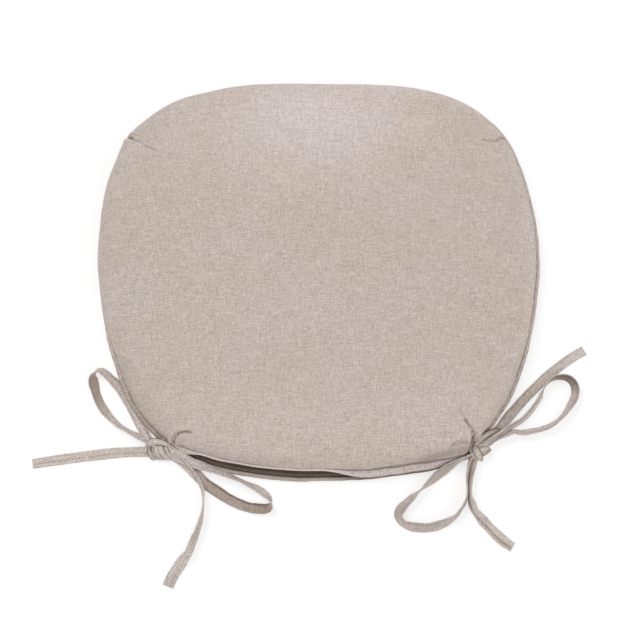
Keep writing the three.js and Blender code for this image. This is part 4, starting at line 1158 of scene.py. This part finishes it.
def build_lip(count=40):
    section, _ = resample_loop(LIP_SECTION, count)
    inset, z = section.T
    x = edge_x(MOUTH_S)
    wave = ((0.30 * noise(MOUTH_ARC / 17, 0, 51) + 0.14 * noise(MOUTH_ARC / 5, 0, 52))
            * np.clip(1.3 - inset / 8, 0, 1))
    # a small step where two lengths of the facing meet, and the narrowing at the left end
    wave = wave + 0.45 * smooth(x, -9, -6.5) * (1 - smooth(x, 10, 40)) * bell(inset, 1.2)
    wave = wave + (1 - smooth(x, -113, -80)) * np.clip(2.6 - 0.6 * inset, 0, 4)
    points = add_z(inward(MOUTH_S, inset + wave), z)
    points[..., 2] += 0.22 * noise(MOUTH_ARC / 9, 0, 53) * (z > 1.6)
    # painted shade: a little darker all over, darker on the outer edge and darkest in the recess
    # behind the hem
    tone = np.select(
        [inset < 0.85, (inset > 5.6) & (inset < 7.4) & (z > 1.5),
         (inset > 3.55) & (inset <= 3.9) & (z > 1.5), (inset > 3.9) & (z > 1.0)],
        [0.66, 0.44, 0.62, 0.34], 0.88)
    # painted shade where the flap lies over it
    tone = tone * (1 - 0.42 * closed_weight(MOUTH_S) * smooth(x, -40, 10))
    cloth = weave(MOUTH_ARC[:, 0], lengths_along(section), 33.0)
    lip = make("placket_lip_linen", COVER, *shell(points, cloth, tone))
    stand_in(lip, "placket_lip")


# ------------------------------------------------------------------ zip
# Sections are distance outside the zip's arc, and height.
TAPE_LOWER = [(-8, 3.3), (-4, 3.25), (-1.1, 3.3), (-0.45, 3.5), (-0.4, 4.2), (-0.4, 6.9),
              (-1.0, 6.9), (-1.0, 4.3), (-1.4, 3.95), (-4, 3.85), (-8, 3.9)]
TAPE_UPPER = [(-8, 10.6), (-4, 10.55), (-1.3, 10.55), (-1.0, 10.2), (-1.0, 7.9), (-0.4, 7.9),
              (-0.4, 10.6), (-0.6, 11.0), (-1.1, 11.2), (-4, 11.15), (-8, 11.2)]
COIL_PITCH, COIL_STEPS, FILAMENT_R = 1.25, 12, 0.21
COIL_MID, COIL_HALF_DEPTH, COIL_HALF_HEIGHT = 0.55, 0.50, 0.78
CORD_SECTION = [(0.2, -0.28), (0.9, -0.28), (0.9, 0.28), (0.2, 0.28)]


def on_arc(deg, outside, z):
    a = np.radians(deg)
    x = ZIP_CENTRE[0] + (ZIP_R + outside) * np.sin(a)
    y = ZIP_CENTRE[1] - (ZIP_R + outside) * np.cos(a)
    return np.stack(np.broadcast_arrays(x, y, z), -1)


def arc_sweep(section, ends, count, layer):
    section = np.asarray(section, float)
    deg = np.linspace(*ends, count)
    return shell(on_arc(deg[:, None], section[:, 0], section[:, 1]),
                 weave(np.radians(deg) * ZIP_R, lengths_along(section), layer))


def build_tape(node, section, layer):
    parts = Parts()
    parts.add(*arc_sweep(section, TAPE_DEG, 240, layer))
    stand_in(parts.make(node + "_woven", TAPE), node)


def build_coil(node, mid_z, hand):
    """A coil of monofilament along the arc, wound round its sewing cord."""
    start, end = CHAIN_DEG
    turns = int(math.radians(end - start) * ZIP_R / COIL_PITCH)
    n = turns * COIL_STEPS
    t = np.arange(n + 1) / n
    deg = start + (end - start) * t
    phase = 2 * math.pi * turns * t
    centres = on_arc(deg, COIL_MID + COIL_HALF_DEPTH * np.cos(phase),
                     mid_z + hand * COIL_HALF_HEIGHT * np.sin(phase))
    forward = unit(np.gradient(centres, axis=0))
    sideways = unit(np.cross(forward, np.array([0, 0, 1.0])))
    parts = Parts()
    parts.add(*tube(centres, sideways, np.cross(forward, sideways), FILAMENT_R,
                    np.radians(deg) * ZIP_R, mid_z))
    parts.add(*arc_sweep([(e, mid_z + z) for e, z in CORD_SECTION], CHAIN_DEG, 120, 63))
    stand_in(parts.make(node + "_nylon", COIL), node)


def dress_metal():
    """The CAD slider, pull and stops stay, with brass and softened edges."""
    for node in ("zip_slider_body", "zip_pull_tab", "zip_stop_left", "zip_stop_right"):
        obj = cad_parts[node]
        obj.data.materials.clear()
        obj.data.materials.append(METAL)
        bevel = obj.modifiers.new("edge", "BEVEL")
        bevel.width = 0.00018
        bevel.segments = 2
        bevel.limit_method = "ANGLE"
        bevel.angle_limit = math.radians(35)


# ------------------------------------------------------------------ straps
STITCH_RISE = np.array([-0.34, -0.10, 0.02, 0.02, -0.10, -0.34])[:, None]  # along one stitch
STITCH_RADII = np.array([0.05, 0.15, 0.17, 0.17, 0.15, 0.05])
SPREAD = np.linspace(-0.5, 0.5, 15)
EDGE_FACE = [0.55, 0.12, -0.55]
# Round the section: share of the width across, and 1 on the upper face to -1 on the lower.
ACROSS = np.concatenate([SPREAD, [0.5] * 3, SPREAD[::-1], [-0.5] * 3])
FACE = np.concatenate([np.ones(15), EDGE_FACE, -np.ones(15), EDGE_FACE[::-1]])


def bow(share, width):
    """How far the strap curls down across its width."""
    return 0.12 * (share * 2) ** 2 * width * 0.12


def add_stitches(parts, at, path, sideways, normal, width, tone, share, half_t, pitch):
    """Raised stitches on both faces, half a pitch apart from face to face."""
    length = pitch * 0.62
    for side, shift in ((1, 0.5), (-1, 0.0)):
        centre = pitch * (shift + 1.0)
        while centre + length < at[-1] - 1.0:
            along = np.linspace(centre - length / 2, centre + length / 2, len(STITCH_RADII))

            def here(values):
                return np.stack([np.interp(along, at, column) for column in values.T], 1)

            to_side, up = unit(here(sideways)), unit(here(normal))
            place, local_width = here(share), here(width)
            height = side * (half_t - 0.16 + STITCH_RISE) - bow(place, local_width)
            middle = here(path) + to_side * (place * local_width) + up * height
            parts.add(*tube(middle, to_side, up, STITCH_RADII, along, 2.0, 0.70 * here(tone)))
            centre += pitch


def strap(parts, rows, step=0.9, stitch=None, seed=0, thick=STRAP_T, fold=None, band=0.0):
    """Adds a folded strap along stations like those of LIMBS; returns its centre line.
    band is the painted shade towards both edges of a length wrapped tightly in a knot."""
    line, at = resample(catmull(rows, sub=16), step=step)
    reach = max(1, int(round(1.6 / step)))
    kernel = np.hanning(2 * reach + 3)[1:-1]
    kernel /= kernel.sum()
    for column in range(line.shape[1]):
        padded = np.pad(line[:, column], reach, mode="reflect", reflect_type="odd")
        line[:, column] = np.convolve(padded, kernel, "valid")
    path, turn = line[:, :3], np.radians(line[:, 3:4])
    run, width, tone = at[:, None], line[:, 4:5], line[:, 5:6]
    share_run = run / at[-1]
    forward = unit(np.gradient(path, axis=0))
    level = unit(np.cross(TO_CAMERA, forward))
    sideways = level * np.cos(turn) + np.cross(forward, level) * np.sin(turn)
    normal = np.cross(forward, sideways)
    width = width + 0.22 * noise(run / 7, 0, seed + 101) + 0.10 * noise(run / 2.3, 0, seed + 102)

    half_t = thick / 2
    flat = np.abs(FACE) > 0.9
    rim = np.abs(ACROSS) >= 0.4999
    end, side = np.sign(ACROSS), np.sign(FACE)
    from_edge = np.clip((0.5 - np.abs(ACROSS)) * 7, 0, 1)
    rounded = 0.62 + 0.38 * np.sqrt(1 - (1 - from_edge) ** 2)
    bulge = np.where(flat, 0.0, np.where(np.abs(FACE) < 0.2, 0.10, 0.30)) * end
    place = ACROSS * width
    puff = np.zeros(place.shape)
    dark = np.ones(place.shape)
    if stitch is not None:
        first, last, pitch = stitch
        share = first + (last - first) * smooth(
            share_run, STITCH_SHIFT - 0.03, STITCH_SHIFT + 0.03)
        off = place - share * width
        tight = 0.5 + 0.5 * np.cos(2 * math.pi * (run / pitch - 0.5))
        puff -= (0.20 + 0.16 * tight) * bell(off, 0.55) * flat
        between = np.abs((run / pitch) % 1.0 - 0.5) > 0.26
        dark *= 1 - (0.10 + 0.22 * between) * bell(off, 0.42) * flat
    if fold is not None:
        fold_share, depth, fold_start, fold_end = fold
        on = (smooth(share_run, fold_start - 0.04, fold_start + 0.04)
              * (1 - smooth(share_run, fold_end - 0.03, fold_end + 0.04)) * flat)
        off = place - fold_share * width
        puff -= depth * bell(off, 0.75) * on
        # painted shade along the fold's crease, uneven along its length
        uneven = 0.8 + 0.25 * noise(run / 1.7, 0, seed + 106)
        dark *= 1 - 0.62 * bell(off, 0.6) * on * uneven
    puff += 0.10 * noise(run / 3.1 + ACROSS * 2, ACROSS * 3 + 5, seed + 103) * flat
    puff += 0.16 * noise(run / 9.0, ACROSS * 1.4 + 2, seed + 104) * flat
    height = (np.where(flat, side * half_t * rounded, half_t * 0.62 * FACE)
              + side * puff - bow(ACROSS, width))
    lateral = place + bulge + 0.12 * noise(run / 1.9, 0, seed + 105) * rim * end
    points = (path[:, None] + sideways[:, None] * lateral[..., None]
              + normal[:, None] * height[..., None])
    points[..., 2] = np.maximum(points[..., 2], 0.02)  # it lies on the floor, not in it

    # painted highlight on the folded edge nearest the eye, painted shade on the other
    lean = np.sin(turn)
    upright = smooth(np.abs(lean), 0.35, 0.85)
    edge_tone = np.where(end * lean > 0, (0.70 + 0.42 * upright) / np.clip(tone, 0.4, 1.2) ** 0.8,
                         0.66 - 0.10 * upright)
    dark *= np.where(rim, 1 + (edge_tone - 1) * (1 - np.abs(FACE) ** 3), 1.0)
    # the rows' tone: painted shade below 1, painted highlight above
    dark *= np.clip(tone, 0, 1.2)
    dark *= 1 - band * np.clip((np.abs(ACROSS) * 2 - 0.4) / 0.6, 0, 1) ** 2
    around = lengths_along(np.stack([ACROSS * STRAP_W, FACE * half_t], 1))
    parts.add(*shell(points, weave(at, around, 40.0 + seed * 3.1), dark))
    if stitch is not None:
        add_stitches(parts, at, path, sideways, normal, width, tone, share, half_t, pitch)
    return path


def knot_of(name):
    return name.split("_")[0] + "_knot"


def build_limb(name, rows, seed):
    """A loop or tail of a tie, built in place of its CAD node."""
    stitch, fold, joint, outward = LIMB_DETAILS[name]
    parts = Parts()
    strap(parts, rows, stitch=stitch, seed=seed, fold=fold)
    obj = parts.make(name + "_strap", STRAP)
    joint = np.array(joint)
    outward = unit(np.array([*outward, 0.0]))
    knot_of(name)
    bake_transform(obj)
    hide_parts(name)


def knot_core(cx, cy, half, turn, rows=24, columns=40, cz=4.7):
    """A ridged, boxy ball of cloth; its two poles come last."""
    polar, around = np.meshgrid(np.linspace(0, math.pi, rows + 2),
                                np.arange(columns) / columns * 2 * math.pi, indexing="ij")
    x, y, z = np.sin(polar) * np.cos(around), np.sin(polar) * np.sin(around), np.cos(polar)
    boxy = (np.abs(x) ** 2.6 + np.abs(y) ** 2.6 + np.abs(z) ** 2.6) ** (-1 / 2.6)
    x, y, z = x * boxy, y * boxy, z * boxy
    ca, sa = math.cos(turn), math.sin(turn)
    ridges = (1 + 0.07 * np.sin(5.2 * (x * 0.9 + y * 0.5))
              + 0.05 * noise(x * 2.2 + 5, y * 2.2 + z, 77))
    points = np.stack([cx + (x * half[0] * ca - y * half[1] * sa) * ridges,
                       cy + (x * half[0] * sa + y * half[1] * ca) * ridges,
                       cz + z * half[2] * ridges], -1)
    body = points[1:-1].reshape(-1, 3)
    verts = np.concatenate([body, points[0, :1], points[-1, :1]])
    top, last_row = len(body), (rows - 1) * columns
    faces = grid_faces(rows, columns, caps=False)
    faces += [((j + 1) % columns, j, top) for j in range(columns)]
    faces += [(last_row + j, last_row + (j + 1) % columns, top + 1) for j in range(columns)]
    cloth = np.concatenate([add_z(body[:, :2], 61.0), [[0, 0, 61], [0, 0, 61]]])
    # painted shade: the bunched cloth is darkened all over
    return verts, faces, cloth, np.full(len(verts), 0.34)


def build_knot(name, bands, first_seed):
    parts = Parts()
    for j, rows in enumerate(bands):
        strap(parts, rows, step=0.6, seed=first_seed + j, thick=1.9,
              fold=KNOT_FOLDS.get((name, j)), band=0.6)
    parts.add(*knot_core(*KNOT_CORES[name]))
    stand_in(parts.make(name + "_cloth", STRAP), name, rides=name)


def build_root(name, rows):
    parts = Parts()
    path = strap(parts, rows, step=0.7, stitch=(0.30, 0.30, 2.6), seed=40)
    obj = parts.make(name + "_strap", STRAP)
    knot_of(name)
    tuple(path[0] * MM)
    tuple(path[-1] * MM)
    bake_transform(obj)
    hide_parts(name)


# ------------------------------------------------------------------ the cushion
build_top()
build_wadding()
build_foam()
build_bottom()
build_piping()
build_flap()
build_lip()
build_tape("zip_tape_lower", TAPE_LOWER, layer=61)
build_tape("zip_tape_upper", TAPE_UPPER, layer=62)
build_coil("zip_coil_lower", mid_z=6.35, hand=1)
build_coil("zip_coil_upper", mid_z=8.45, hand=-1)
dress_metal()
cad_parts["piping_cord"].data.materials.clear()
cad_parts["piping_cord"].data.materials.append(CORD)
for i, (name, rows) in enumerate(LIMBS.items()):
    build_limb(name, rows, seed=i + 1)
for name, first_seed in (("left_knot", 20), ("right_knot", 26)):
    build_knot(name, KNOTS[name], first_seed)
for name, rows in ROOTS.items():
    build_root(name, rows)


# ------------------------------------------------------------------ stage, in metres
def floor_white(name, value, glow):
    """Glowing white, clear from below so that the underside can be looked at."""
    g = Graph(name)
    blotch = g.noise(g.place(), scale=6.0)
    low = value * 0.995
    color = g.mix(g.ramp(blotch, 0.3, 0.7), (value, value, value, 1), (low, low, low, 1))
    g.finish(color, 0.9)
    g.bsdf.inputs["Emission Color"].default_value = (1, 1, 1, 1)
    g.bsdf.inputs["Emission Strength"].default_value = glow
    shader = g.node("ShaderNodeMixShader")
    sources = (g.node("ShaderNodeNewGeometry").outputs["Backfacing"], g.bsdf.outputs[0],
               g.node("ShaderNodeBsdfTransparent").outputs[0])
    for socket, source in zip(shader.inputs, sources):
        g.tree.links.new(source, socket)
    g.tree.links.new(shader.outputs[0], g.output.inputs["Surface"])
    return g.material


def build_floor():
    bpy.ops.mesh.primitive_plane_add(size=40, location=(5, 0, -0.0002))
    floor = bpy.context.object
    floor.name = "floor"
    floor.data.materials.append(floor_white("floor_white", value=0.42, glow=0.64))


def area_light(name, place, size, power, color):
    """A square light aimed at the origin."""
    light = bpy.data.lights.new(name, "AREA")
    light.energy = power
    light.size = size
    light.color = color
    obj = bpy.data.objects.new(name, light)
    obj.location = place
    obj.rotation_euler = (-Vector(place)).to_track_quat("-Z", "Y").to_euler()
    bpy.context.scene.collection.objects.link(obj)


def build_world(light=0.40, backdrop=0.98):
    """Soft cool light, with a plain pale backdrop where the camera sees it."""
    world = bpy.data.worlds.new("studio")
    world.use_nodes = True
    nodes, links = world.node_tree.nodes, world.node_tree.links
    lit = nodes["Background"]
    lit.inputs[0].default_value = (0.98, 0.99, 1.0, 1)
    lit.inputs[1].default_value = light
    seen = nodes.new("ShaderNodeBackground")
    seen.inputs[0].default_value = (1, 1, 1, 1)
    seen.inputs[1].default_value = backdrop
    path = nodes.new("ShaderNodeLightPath")
    both = nodes.new("ShaderNodeMixShader")
    links.new(path.outputs["Is Camera Ray"], both.inputs[0])
    links.new(lit.outputs[0], both.inputs[1])
    links.new(seen.outputs[0], both.inputs[2])
    links.new(both.outputs[0], nodes["World Output"].inputs[0])
    bpy.context.scene.world = world


def build_camera(target=(0.001355, -0.04328, 0.0), distance=1.3):
    data = bpy.data.cameras.new("camera")
    camera = bpy.data.objects.new("camera", data)
    bpy.context.scene.collection.objects.link(camera)
    back = Vector(tuple(TO_CAMERA))
    camera.location = Vector(target) + back * distance
    camera.rotation_euler = (-back).to_track_quat("-Z", "Y").to_euler()
    data.sensor_width = 36
    data.lens = 81.98
    data.clip_start = 0.01
    data.clip_end = 50
    bpy.context.scene.camera = camera


build_floor()
area_light("key", place=(-1.3, 1.0, 2.3), size=1.6, power=36, color=(1.0, 0.993, 0.984))
area_light("front", place=(0.9, -2.2, 1.7), size=1.8, power=22, color=(1.0, 0.995, 0.99))
area_light("side", place=(2.3, 0.6, 1.6), size=1.6, power=12, color=(0.985, 0.993, 1.0))
build_world()
build_camera()
bpy.context.scene.view_settings.view_transform = "Standard"
bpy.context.scene.view_settings.look = "None"
